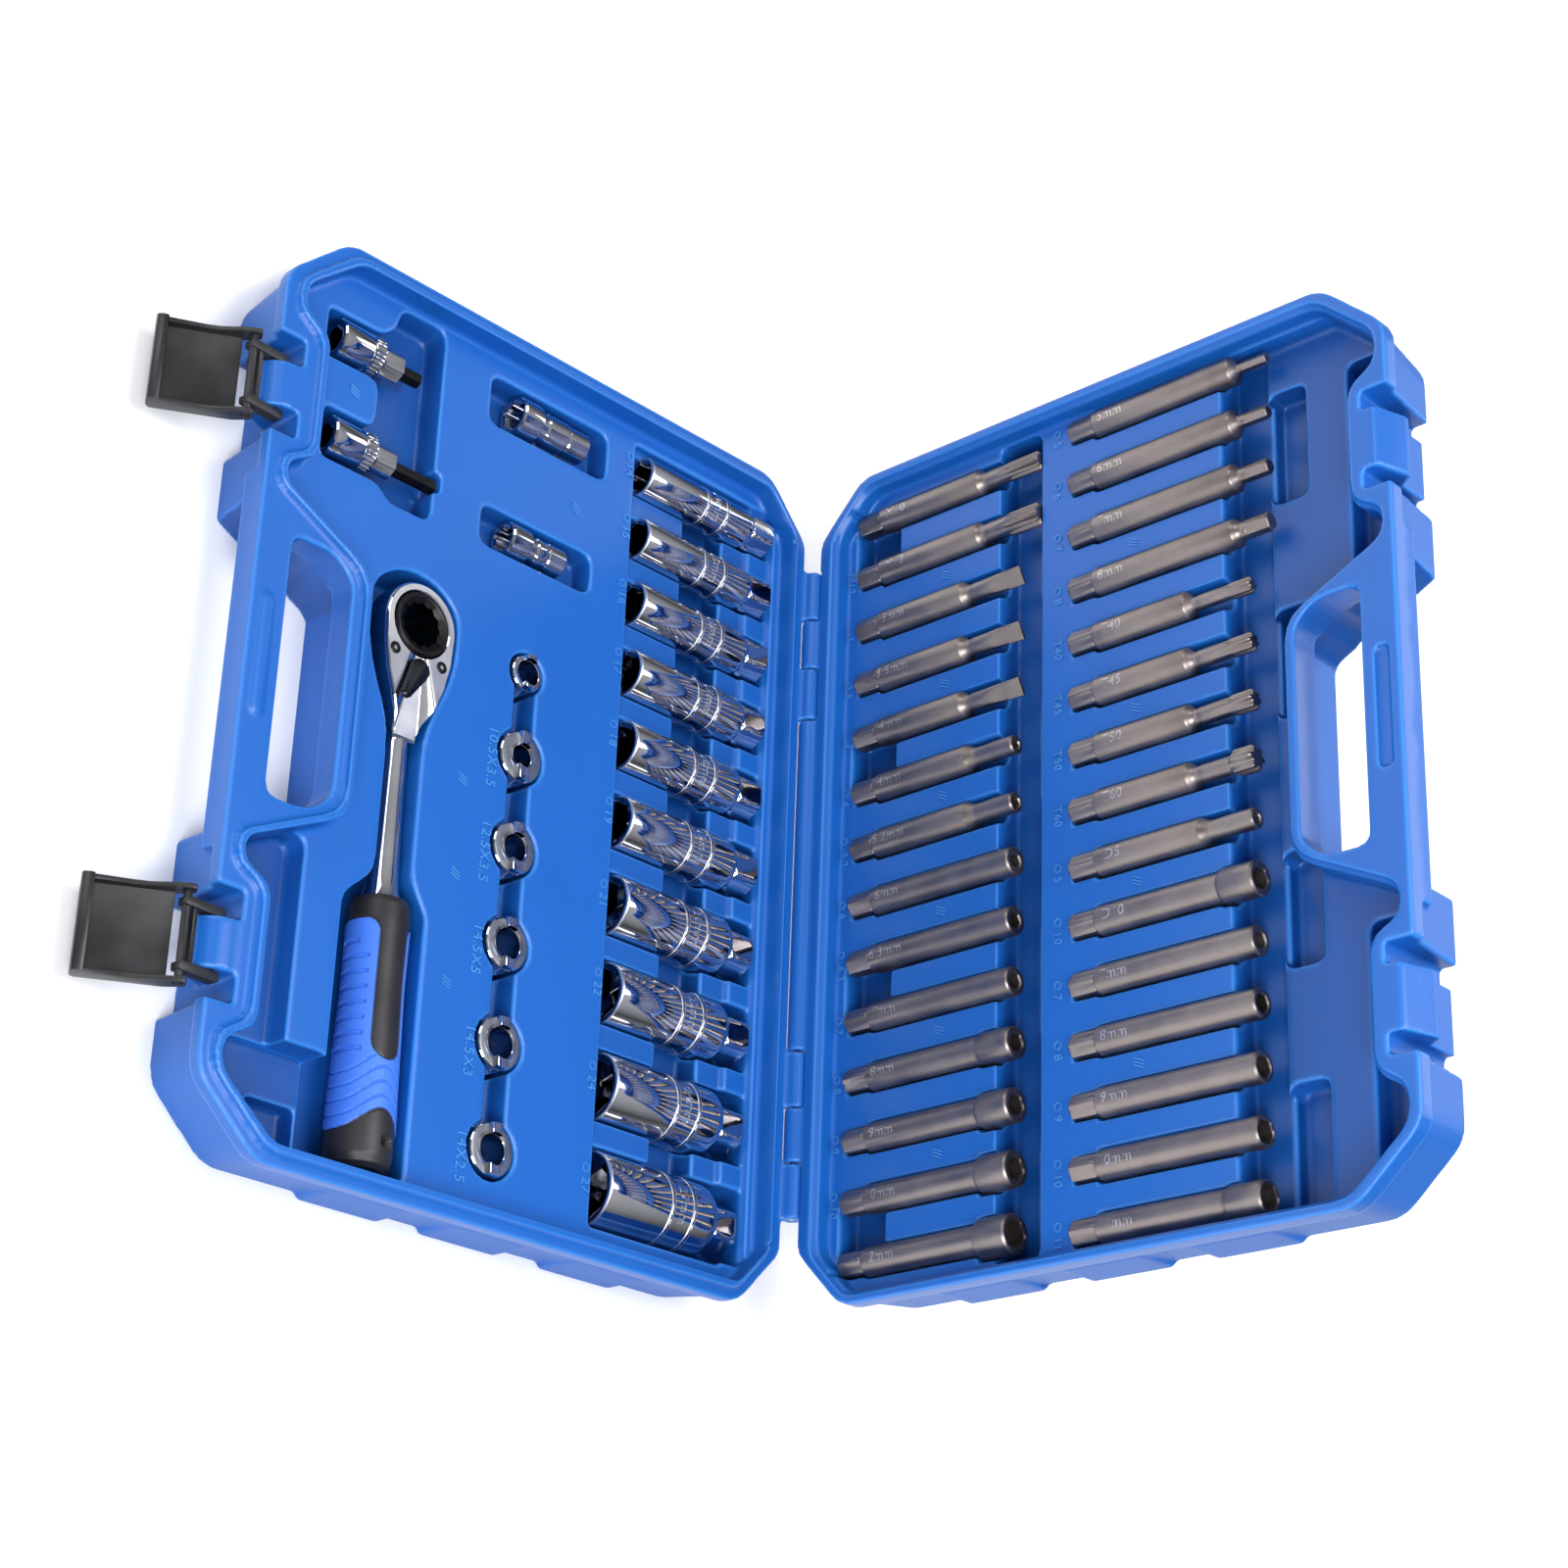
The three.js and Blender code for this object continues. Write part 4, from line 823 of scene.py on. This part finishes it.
def strut_spigot(label, x, radius, bore):
    mesh = merged(f"spigot_{label}_drum", [spigot_drum(x, radius, bore), *spigot_lugs(x, radius, bore)])
    mesh.materials.append(mirror_chrome)
    mesh.materials.append(turned_face)
    face_height = (HINGE_Z + SPIGOT_TOP - LUG_HEIGHT) * MM
    for face in mesh.polygons:
        if face.normal.z > 0.95 and abs(face.center.z - face_height) < 0.0002:
            face.material_index = 1
    piece = object_of(f"spigot_{label}_drum", mesh)
    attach(piece, f"spigot_{label}")
    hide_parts(f"spigot_{label}")


def turned_face_finish():
    """Steel left from the lathe: fine lines, with a broad soft sheen."""
    material, tree, shader, mottle = finish_nodes("turned_face", 120.0, 900.0)
    colour = ramp(tree, mottle.outputs["Patch"],
                  [(0.3, (0.3, 0.31, 0.33, 1)), (0.7, (0.46, 0.47, 0.5, 1))])
    tree.links.new(colour.outputs["Color"], shader.inputs["Base Color"])
    shader.inputs["Metallic"].default_value = 1.0
    shader.inputs["Roughness"].default_value = 0.34
    lines = tree.nodes.new("ShaderNodeTexNoise")
    lines.inputs["Scale"].default_value = 1.0
    lines.inputs["Detail"].default_value = 2.0
    place = tree.nodes.new("ShaderNodeTexCoord")
    stretch = tree.nodes.new("ShaderNodeMapping")
    stretch.inputs["Scale"].default_value = (2500.0, 180.0, 180.0)
    tree.links.new(place.outputs["Object"], stretch.inputs["Vector"])
    tree.links.new(stretch.outputs["Vector"], lines.inputs["Vector"])
    bumped(tree, shader, lines.outputs["Fac"], 0.25, 0.0001)
    return material


turned_face = turned_face_finish()
for spigot_entry in SPIGOTS:
    strut_spigot(*spigot_entry)


# ---- Ratchet -------------------------------------------------------------------------------
# A forged and chromed ratchet. The flat cheeks of the teardrop head are satin and the rest is
# polished. A black ring with a twelve-point hole turns in it, under two black cover screws and
# a ridged black reversing lever.

RING_X = -51
RATCHET_U = 250.5
RATCHET_Z = -20
HEAD_RADIUS = 20.5
HEAD_HALF = 12
HEAD_WAIST = [(2, 20.4), (14, 19.7), (26, 17.2), (38, 13.2), (48, 8.2), (56, 6.6)]
HEAD_LEVELS = [(-12, 1.5), (-11.3, 0.5), (-10.2, 0), (10.2, 0), (11.3, 0.4), (12, 1.2)]
HEAD_HOLE = [(12, 16.7), (11.5, 16.1), (-11.5, 16.1), (-12, 16.7)]
SHANK_STATIONS = [(46, 5.4, 5.0), (54, 6.3, 5.8), (66, 6.2, 5.7), (88, 6.7, 6.0), (108, 7.2, 6.4),
                  (124, 7.8, 6.9), (129, 8.5, 7.6), (132.6, 9.6, 8.8)]
RING_LEVELS = [(-13, 14.0), (-12.3, 15.2), (-11.4, 15.6), (11.2, 15.6), (12.2, 15.4), (12.9, 14.8),
               (13.1, 14.0), (12.9, 13.2), (12.4, 12.5)]
RING_FLATS = 19.3
LEVER_PLACE = (23.5, 0, HEAD_HALF + 0.15)
LEVER_ANGLE = -0.45
LEVER_REACH = 14.6
LEVER_RIDGES = (-2.4, -0.6, 1.2)
SCREW_PLACES = [(17, -14.2), (17, 13.4)]
SCREW_LEVELS = [(11.2, 0.01), (11.2, 2.9), (12.2, 2.9), (12.5, 2.6), (12.62, 2.0)]


def ratchet_place(x, y, z):
    """A point of the ratchet in world millimetres: x towards the grip, y towards the hinge."""
    return (RING_X + x, HINGE_Y - RATCHET_U + y, HINGE_Z + RATCHET_Z + z)


def through(points, x):
    """A smooth curve through (x, value) points."""
    for (x0, v0), (x1, v1) in zip(points, points[1:]):
        if x <= x1:
            eased = smooth_step(x0, x1, x) * 0.35 + (x - x0) / (x1 - x0) * 0.65
            return v0 + (v1 - v0) * eased
    return points[-1][1]


def head_outline():
    upper = [(56.0, y) for y in (0.0, 2.2, 4.4)]
    upper += [(x, through(HEAD_WAIST, x)) for x in (56 - 54 * i / 44 for i in range(45))]
    upper += [(HEAD_RADIUS * math.cos(math.radians(a)), HEAD_RADIUS * math.sin(math.radians(a)))
              for a in range(88, 180, 4)]
    lower = [(x, -y) for x, y in upper[1:]]
    return upper + [(-HEAD_RADIUS, 0.0)] + lower[::-1]


def shrunk(points, distance):
    """The closed outline drawn in by a distance."""
    out = []
    for i, (x, y) in enumerate(points):
        before, after = points[i - 1], points[(i + 1) % len(points)]
        along = Vector((after[0] - before[0], after[1] - before[1])).normalized()
        out.append((x - along.y * distance, y + along.x * distance))
    return out


def head_height(x, z):
    return z * (1 - 0.48 * smooth_step(36, 56, x))


def ratchet_head():
    outline = head_outline()
    rings = [[ratchet_place(x, y, head_height(x, z)) for x, y in shrunk(outline, inward)]
             for z, inward in HEAD_LEVELS]
    angles = [math.atan2(y, x) for x, y in outline]
    rings += [[ratchet_place(radius * math.cos(a), radius * math.sin(a), z) for a in angles]
              for z, radius in HEAD_HOLE]
    skin = ring_skin("ratchet_head", rings, len(outline), joined_ends=True)
    head = object_of("ratchet_head", skin)
    head.data.materials.append(mirror_chrome)
    head.data.materials.append(satin_chrome)
    for face in head.data.polygons:
        if abs(face.normal.z) > 0.985:
            face.material_index = 1
    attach(head, "ratchet")
    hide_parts("ratchet_body")


def ratchet_shank():
    rings = [[ratchet_place(x, wide * math.cos(a * math.pi / 32), high * math.sin(a * math.pi / 32))
              for a in range(64)] for x, wide, high in SHANK_STATIONS]
    shank = object_of("ratchet_shank", ring_skin("ratchet_shank", rings, 64))
    shank.data.materials.append(mirror_chrome)
    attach(shank, "ratchet")


def upright_ring(x, y, z, shape, count=96):
    """A ring of points about an upright axis; shape gives the radius at each angle."""
    return [ratchet_place(x + shape(a) * math.cos(a), y + shape(a) * math.sin(a), z)
            for a in (2 * math.pi * i / count for i in range(count))]


def twelve_point(angle):
    """Two hexagons a twelfth of a turn apart, joined."""
    radii = []
    for turn in (0, math.pi / 6):
        off = (angle + turn) % (math.pi / 3) - math.pi / 6
        radii.append(RING_FLATS / 2 / math.cos(off))
    return max(radii)


def ratchet_ring():
    rings = [upright_ring(0, 0, z, lambda a, r=r: r, 144) for z, r in RING_LEVELS]
    rings += [upright_ring(0, 0, z, twelve_point, 144) for z in (11.3, -11.6)]
    rings.append(upright_ring(0, 0, -12.6, lambda a: 12.4, 144))
    skin = ring_skin("ratchet_ring_piece", rings, 144, joined_ends=True)
    ring = object_of("ratchet_ring_piece", skin)
    ring.data.materials.append(black_steel)
    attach(ring, "ring")
    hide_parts("ratchet_ring")


def star_recess(angle):
    return 1.35 * (1 - 0.22 * (0.5 - 0.5 * math.cos(6 * angle)))


def cover_screws():
    for i, (x, y) in enumerate(SCREW_PLACES):
        rings = [upright_ring(x, y, z, lambda a, r=r: r) for z, r in SCREW_LEVELS]
        rings += [upright_ring(x, y, SCREW_LEVELS[-1][0], star_recess),
                  upright_ring(x, y, 11.6, star_recess), upright_ring(x, y, 11.6, lambda a: 0.01)]
        skin = ring_skin(f"cover_screw_{i}", rings, 96, joined_ends=True)
        screw = object_of(f"cover_screw_{i}", skin)
        screw.data.materials.append(black_steel)
        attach(screw, "ratchet")


def lever_outline(inward, big=5.5, tip=2.9):
    """A long drop: an arc about the pivot and a smaller one about the tip."""
    points = []
    lean = math.asin((big - tip) / LEVER_REACH)
    for centre, radius, start, sweep in (
            (0, big - inward, math.pi / 2 - lean, math.pi + 2 * lean),
            (LEVER_REACH, tip - inward, -math.pi / 2 + lean, math.pi - 2 * lean)):
        angles = [start + sweep * i / 16 for i in range(17)]
        points += [(centre + radius * math.cos(a), radius * math.sin(a)) for a in angles]
    return points


def lever_place(x, y, z):
    point = Matrix.Rotation(LEVER_ANGLE, 3, "Z") @ Vector((x, y, z)) + Vector(LEVER_PLACE)
    return ratchet_place(point.x, point.y, point.z)


def lever_ridge(x):
    section = ((-0.5, 0), (0.5, 0), (0.3, 1.1), (-0.3, 1.1))
    return ring_skin("ridge", [[lever_place(x + a, y * 2.3, 2.1 + b * (1 - 0.3 * abs(y)))
                                for a, b in section] for y in (-1, -0.8, 0.8, 1)], 4)


def reversing_lever():
    rings = [[lever_place(x, y, z) for x, y in lever_outline(inward)]
             for z, inward in ((0, 0.4), (0.3, 0), (1.5, 0.1), (1.9, 0.5))]
    rings.append([lever_place(max(-3.5, min(x, LEVER_REACH + 1)), 0.06 * y, 3.1)
                  for x, y in lever_outline(0.5)])
    ridges = [lever_ridge(LEVER_REACH + x) for x in LEVER_RIDGES]
    mesh = merged("reversing_lever", [ring_skin("lever", rings, 34), *ridges])
    mesh.materials.append(dark_lever)
    lever = object_of("reversing_lever", mesh)
    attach(lever, "reverser")
    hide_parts("ratchet_reversing_lever")


dark_lever = steel_finish("dark_lever", (0.05, 0.055, 0.062, 1), (0.032, 0.035, 0.04, 1),
                          (0.3, 0.42), 1200.0, 0.2)
ratchet_head()
ratchet_shank()
ratchet_ring()
cover_screws()
reversing_lever()


# ---- Ratchet grip --------------------------------------------------------------------------
# A black grip core with a raised blue overmould wrapped round its flanks. The blue leaves an
# oblong black window on top and underneath, carries short cross slots, and ends in an arched
# line before the black butt with its hexagon hanging hole.

GRIP_START = 133
GRIP_LENGTH = 124
GRIP_PROFILE = [(0, 10.4), (1, 12.6), (4, 13.7), (12, 14.0), (40, 13.7), (75, 14.5), (105, 15.3),
                (118, 15.2), (122, 14.2), (124, 11.5)]
WINDOW_START = 12.5
WINDOW_END = 76
WINDOW_HALF = 8.2
GRIP_GIRTH = 14.3
BLUE_END = 108
SLOT_FIRST = 23
SLOT_PITCH = 7.1
SLOT_COUNT = 8
GRIP_ARCHES = (83, 89.5, 96, 102.5)
HANG_HOLE = Vector((112, 4))
HANG_HOLE_RADIUS = 4


def blue_depth(x, angle):
    """How far inside the blue a point of the grip lies, in millimetres; negative is black."""
    turn = abs(math.remainder(angle, 2 * math.pi))
    over = min(turn, math.pi - turn) * GRIP_GIRTH
    end = WINDOW_END - WINDOW_HALF
    window = over - WINDOW_HALF if x < end else math.hypot(x - end, over) - WINDOW_HALF
    corner = 99
    if x < end:
        corner = 7 - math.hypot(max(WINDOW_START + 7 - x, 0), max(WINDOW_HALF + 7 - over, 0))
    butt = BLUE_END - 10 * abs(math.cos(turn)) ** 3 - x
    return min(window, corner, x - WINDOW_START, butt)


def slot_depth(x, angle):
    """One inside a cross slot of the blue, nought outside."""
    turn = abs(math.remainder(angle, 2 * math.pi))
    beside = abs(turn - math.pi / 2) * GRIP_GIRTH
    deepest = 0.0
    for k in range(SLOT_COUNT):
        half = 1.35 - 0.05 * beside
        reach = 5.5 if k == 0 else 10.5
        off = max(abs(x - SLOT_FIRST - SLOT_PITCH * k) - half, beside - reach)
        deepest = max(deepest, 1 - smooth_step(-0.45, 0.15, off))
    arch = 10 * abs(math.cos(turn)) ** 3
    for line in GRIP_ARCHES:
        off = abs(x - line + arch) - 0.45
        deepest = max(deepest, 1 - smooth_step(-0.4, 0.3, off))
    return deepest


def hanging_hole():
    turns = [i * math.pi / 3 for i in range(6)]
    return ring_skin("hanging_hole", [
        [ratchet_place(GRIP_START + HANG_HOLE.x + HANG_HOLE_RADIUS * math.cos(a),
                       HANG_HOLE.y + HANG_HOLE_RADIUS * math.sin(a), z) for a in turns]
        for z in (-24, 24)], 6)


def ratchet_grip():
    steps = 260
    count = 176
    rings = []
    blue = []
    for i in range(steps + 1):
        x = GRIP_LENGTH * i / steps
        ring = []
        for j in range(count):
            angle = 2 * math.pi * j / count
            inside = blue_depth(x, angle)
            share = smooth_step(-0.3, 0.45, inside)
            radius = through(GRIP_PROFILE, x) + 0.45 * share
            radius -= 0.95 * slot_depth(x, angle) * smooth_step(0.4, 1.4, inside)
            radius -= 0.3 * (1 - smooth_step(0.1, 0.7, abs(inside + 0.45)))
            ring.append(ratchet_place(GRIP_START + x, radius * math.sin(angle),
                                      radius * math.cos(angle)))
            blue.append(smooth_step(-0.1, 0.15, inside))
        rings.append(ring)
    grip = object_of("ratchet_grip_piece", ring_skin("ratchet_grip_piece", rings, count))
    share = grip.data.attributes.new("blue", "FLOAT", "POINT")
    share.data.foreach_set("value", blue)
    grip.data.materials.append(grip_rubber)
    hole = object_of("hanging_hole", hanging_hole())
    cut = grip.modifiers.new("cut", "BOOLEAN")
    cut.operation = "DIFFERENCE"
    cut.solver = "EXACT"
    cut.object = hole
    settled(grip)
    bpy.data.objects.remove(hole)
    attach(grip, "ratchet")
    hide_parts("ratchet_grip")


def two_tone_rubber():
    material, tree, shader, mottle = finish_nodes("two_tone_rubber", 40.0, 1300.0)
    black = ramp(tree, mottle.outputs["Patch"],
                 [(0.35, (0.013, 0.012, 0.014, 1)), (0.8, (0.026, 0.025, 0.028, 1))])
    blue = ramp(tree, mottle.outputs["Patch"],
                [(0.35, (0.045, 0.165, 0.72, 1)), (0.8, (0.055, 0.2, 0.82, 1))])
    share = attribute(tree, "blue")
    mix = tree.nodes.new("ShaderNodeMix")
    mix.data_type = "RGBA"
    tree.links.new(share, mix.inputs["Factor"])
    tree.links.new(black.outputs["Color"], mix.inputs["A"])
    tree.links.new(blue.outputs["Color"], mix.inputs["B"])
    tree.links.new(mix.outputs["Result"], shader.inputs["Base Color"])
    tree.links.new(spread(tree, share, 0.42, 0.5), shader.inputs["Roughness"])
    bumped(tree, shader, mottle.outputs["Tooth"], 0.2, 0.00012)
    return material


grip_rubber = two_tone_rubber()
ratchet_grip()


# ---- Long bits -----------------------------------------------------------------------------
# Twenty-nine hundred-millimetre bits in satin, grey-brown tool steel, each on a hexagon
# drive, with its size stamped along the shank and its own tip.

BIT_HEX = 11.2
BIT_RADIUS = 7.2
DRIVE_LENGTH = 15.4
INNER_U = 24.5
OUTER_U = 163
BIT_AXIS = -12
STAMP_PLACE = 27

satin_steel = steel_finish("satin_tool_steel", (0.3, 0.262, 0.25, 1), (0.235, 0.203, 0.194, 1),
                           (0.34, 0.46), 1400.0, 0.35)
stamped_bit = steel_finish("stamped_bit_size", (0.66, 0.62, 0.6, 1), (0.5, 0.47, 0.45, 1),
                           (0.32, 0.44), 1800.0, 0.2)


def fluted(depth, teeth):
    """Rounded valleys between teeth."""
    def shape(angle, radius):
        wave = 0.5 - 0.5 * math.cos(teeth * angle)
        return radius * (1 - depth * wave ** 0.8)
    return shape


def shank(end):
    hexagon = hex_radius(BIT_HEX)
    return [(0, 0.01), (0, BIT_HEX / 2 - 0.4), (0.7, hexagon, 6, 0.97), (1.4, hexagon, 6, 0.985),
            (DRIVE_LENGTH - 1.2, hexagon, 6, 0.985), (DRIVE_LENGTH - 0.7, hexagon - 0.75),
            (DRIVE_LENGTH, hexagon - 0.75), (DRIVE_LENGTH + 0.1, BIT_RADIUS - 0.5),
            (DRIVE_LENGTH + 0.7, BIT_RADIUS), (end - 1.0, BIT_RADIUS)]


def waist(end, neck):
    """Shoulder, narrow waist and the bead before a tip."""
    return [(end - 0.2, BIT_RADIUS - 0.5), (end + 0.6, BIT_RADIUS - 1.3), (end + 2.4, neck + 0.4),
            (end + 4.0, neck), (end + 5.6, neck + 0.35)]


def hollow(length, bore):
    """The hexagon mouth of a nut-driving bit."""
    return [(length - 0.7, bore, 6, 0.97), (length - 13, bore, 6, 0.97), (length - 13, 0.01)]


def spline_bit(tip):
    length, end = 118, 81
    neck = min(tip - 0.4, 5.0)
    flute = (0, 1, fluted(0.24, 12))
    return turned_rings(shank(end) + waist(end, neck) + [
        (end + 8, neck + 0.2), (length - 20, neck + 0.2), (length - 18, tip, *flute),
        (length - 1, tip, *flute), (length, tip - 0.9, *flute), (length, 0.01)])


def star_bit(tip):
    length, end = 104, 69
    neck = min(tip - 0.4, 4.4)
    flute = (0, 1, fluted(0.34, 6))
    return turned_rings(shank(end) + waist(end, neck - 0.4) + [
        (end + 8, neck), (length - 13, neck), (length - 11, tip, *flute),
        (length - 0.8, tip, *flute), (length, tip - 0.8, *flute), (length, 0.01)])


def hex_bit(tip):
    length, end = 115.5, 97
    return turned_rings(shank(end) + waist(end, tip - 0.4) + [
        (end + 6.6, tip, 6, 0.99), (length - 0.6, tip, 6, 0.99), (length, tip - 0.6, 6),
        (length, 0.01)])


def plain_bit(tip, bore):
    length = 103
    return turned_rings(shank(length - 10) + [
        (length - 0.9, tip), (length, tip - 0.8), (length, bore + 0.4)] + hollow(length, bore))


def neck_bit(tip, bore):
    length, end = 103, 75
    return turned_rings(shank(end) + [
        (end, BIT_RADIUS - 0.4), (end + 3, tip + 0.1), (end + 6, tip - 0.3), (length - 12, tip),
        (length - 0.8, tip), (length, tip - 0.7), (length, bore + 0.3)] + hollow(length, bore))


def head_bit(tip, bore):
    length, end = 104, 84
    return turned_rings(shank(end) + [
        (end, BIT_RADIUS), (end + 1.4, tip - 0.4), (end + 2.2, tip), (length - 1, tip),
        (length, tip - 0.9), (length, bore + 0.5)] + hollow(length, bore))


def slot_bit(tip):
    """A flat blade: the last rings are squashed to its thickness."""
    length, end = 106, 71
    rings = turned_rings(shank(end) + waist(end, 4.2) + [(end + 8, 4.6), (length - 19, 4.6)])
    for y, half in ((length - 15, 3.2), (length - 9, tip * 0.8), (length - 0.4, tip * 0.5),
                    (length, tip * 0.5 - 0.2)):
        rings.append([(px, py, max(-half, min(half, pz))) for px, py, pz in turned_ring(y, 4.8)])
    return rings + turned_rings([(length, 0.01)])


TIPS = {"spline": spline_bit, "star": star_bit, "hex": hex_bit, "plain": plain_bit,
        "neck": neck_bit, "head": head_bit, "slot": slot_bit}

# node, kind of tip, its radius and any bore's, stamped words
INNER_BITS = [
    ("bit_m10", "spline", (4.9,), "M10"), ("bit_m12", "spline", (5.9,), "M12"),
    ("bit_slot_3", "slot", (1.5,), "3mm"), ("bit_slot_3_5", "slot", (1.75,), "3.5mm"),
    ("bit_slot_4", "slot", (2,), "4mm"), ("bit_hollow_4", "neck", (4.9, 2.4), "4mm"),
    ("bit_hollow_5_2", "neck", (5.2, 3), "5.2mm"),
    ("bit_hollow_6", "plain", (BIT_RADIUS, 3.6), "6mm"),
    ("bit_hollow_6_3", "plain", (BIT_RADIUS, 3.8), "6.3mm"),
    ("bit_hollow_7", "plain", (BIT_RADIUS, 4.1), "7mm"),
    ("bit_hollow_8", "head", (8, 4.7), "8mm"), ("bit_hollow_9", "head", (8.6, 5.3), "9mm"),
    ("bit_hollow_10", "head", (9, 5.8), "10mm"), ("bit_hollow_12", "head", (9.6, 7), "12mm"),
]
OUTER_BITS = [
    ("bit_hex_5", "hex", (2.9,), "5mm"), ("bit_hex_6", "hex", (3.45,), "6mm"),
    ("bit_hex_7", "hex", (4,), "7mm"), ("bit_hex_8", "hex", (4.6,), "8mm"),
    ("bit_t40", "star", (4,), "T40"), ("bit_t45", "star", (4.6,), "T45"),
    ("bit_t50", "star", (5.1,), "T50"), ("bit_t60", "star", (6.4,), "T60"),
    ("bit_d5", "neck", (5, 2.6), "D5"), ("bit_d10", "head", (8.5, 5.6), "D10"),
    ("bit_socket_7", "plain", (BIT_RADIUS, 4.1), "7mm"),
    ("bit_socket_8", "plain", (BIT_RADIUS, 4.6), "8mm"),
    ("bit_socket_9", "plain", (7.4, 5.2), "9mm"), ("bit_socket_10", "plain", (7.6, 5.8), "10mm"),
    ("bit_socket_11", "head", (8.2, 6.4), "11mm"),
]


def along_bit(co, radius, centre):
    """Letters run from the drive to the tip, tops towards the left end of the hinge."""
    angle = co.y / radius
    x, u, z = centre
    r = radius + co.z
    return lid_point(x - r * math.sin(angle), u + co.x, z + r * math.cos(angle))


def lay_bits(bits, pitch, start_u):
    middle = (len(bits) - 1) / 2
    turn = Matrix.Rotation(math.pi / 6, 3, "Y")
    for i, (node, kind, radii, words) in enumerate(bits):
        x = (i - middle) * pitch
        placed = []
        for ring in TIPS[kind](*radii):
            turned = [turn @ Vector(point) for point in ring]
            placed.append([(x + p.x, HINGE_Y - BIT_AXIS - p.z, HINGE_Z + start_u + p.y)
                           for p in turned])
        skin = ring_skin(node + "_body", placed, 72, joined_ends=True)
        piece = object_of(node + "_body", skin)
        piece.data.materials.append(satin_steel)
        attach(piece, node)
        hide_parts(node)
        stamp = size_stamp(node + "_stamp", words, BIT_RADIUS, (x, start_u + STAMP_PLACE, BIT_AXIS),
                           along_bit, stamped_bit)
        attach(stamp, node)


lay_bits(INNER_BITS, INNER_PITCH, INNER_U)
lay_bits(OUTER_BITS, OUTER_PITCH, OUTER_U)


# ---- Studio --------------------------------------------------------------------------------
# A pale floor under large soft lights, and a camera that looks down on the open case from the
# front right, rolled so that the hinge runs down the middle of its frame.

FLOOR_HALF = 9.0
HINGE_CENTRE = Vector((0, HINGE_Y, HINGE_Z)) * MM


def studio_floor():
    mesh = bpy.data.meshes.new("studio_floor")
    corners = [(FLOOR_HALF * x, FLOOR_HALF * y, -0.0003) for x, y in ((-1, -1), (1, -1), (1, 1), (-1, 1))]
    mesh.from_pydata(corners, [], [(0, 1, 2, 3)])
    floor = object_of("studio_floor", mesh)
    material = bpy.data.materials.new("studio_paper")
    material.use_nodes = True
    shader = material.node_tree.nodes["Principled BSDF"]
    shader.inputs["Base Color"].default_value = (0.93, 0.93, 0.93, 1)
    shader.inputs["Roughness"].default_value = 0.9
    shader.inputs["Emission Color"].default_value = (1, 1, 1, 1)
    shader.inputs["Emission Strength"].default_value = 0.12
    mesh.materials.append(material)


def soft_light(name, place, target, size, power):
    light = bpy.data.lights.new(name, "AREA")
    light.shape = "RECTANGLE"
    light.size, light.size_y = size
    light.energy = power
    obj = bpy.data.objects.new(name, light)
    obj.location = place
    obj.rotation_euler = (Vector(target) - Vector(place)).to_track_quat("-Z", "Y").to_euler()
    bpy.context.scene.collection.objects.link(obj)


def studio_camera():
    camera = bpy.data.cameras.new("studio_camera")
    camera.sensor_width = 36
    camera.lens = 71.34
    camera.clip_end = 20
    obj = bpy.data.objects.new("studio_camera", camera)
    right = Vector((-0.03506, 0.68074, 0.73169))
    down = Vector((0.91690, 0.31316, -0.24742))
    forward = Vector((-0.39756, 0.66221, -0.63515))
    turn = Matrix((right, -down, -forward)).transposed()
    place = HINGE_CENTRE + Vector((574.0, -1054.7, 995.7)) * MM
    obj.matrix_world = Matrix.Translation(place) @ turn.to_4x4()
    bpy.context.scene.collection.objects.link(obj)
    bpy.context.scene.camera = obj


def studio_world():
    world = bpy.data.worlds.new("studio_world")
    bpy.context.scene.world = world
    world.use_nodes = True
    tree = world.node_tree
    background = tree.nodes["Background"]
    place = tree.nodes.new("ShaderNodeTexCoord")
    split = tree.nodes.new("ShaderNodeSeparateXYZ")
    tree.links.new(place.outputs["Generated"], split.inputs["Vector"])
    sky = ramp(tree, split.outputs["Z"], [(0.0, (0.7, 0.7, 0.72, 1)), (0.12, (0.34, 0.34, 0.36, 1)),
                                          (0.35, (0.1, 0.1, 0.11, 1)), (0.62, (0.4, 0.41, 0.43, 1)),
                                          (1.0, (0.8, 0.8, 0.82, 1))])
    tree.links.new(sky.outputs["Color"], background.inputs["Color"])
    background.inputs["Strength"].default_value = 0.75
    bpy.context.scene.view_settings.view_transform = "Standard"


studio_floor()
studio_world()
soft_light("key", (1.3, -1.2, 1.5), (0, 0.05, 0.1), (0.9, 0.9), 38)
soft_light("fill", (-1.5, -1.5, 1.2), (0, 0.1, 0.1), (1.2, 1.2), 12)
soft_light("top", (0.1, 0.1, 2.2), (0, 0, 0), (1.6, 0.8), 30)
soft_light("back", (-0.7, 2.0, 1.4), (0, 0.2, 0.2), (1.4, 1.0), 14)
studio_camera()
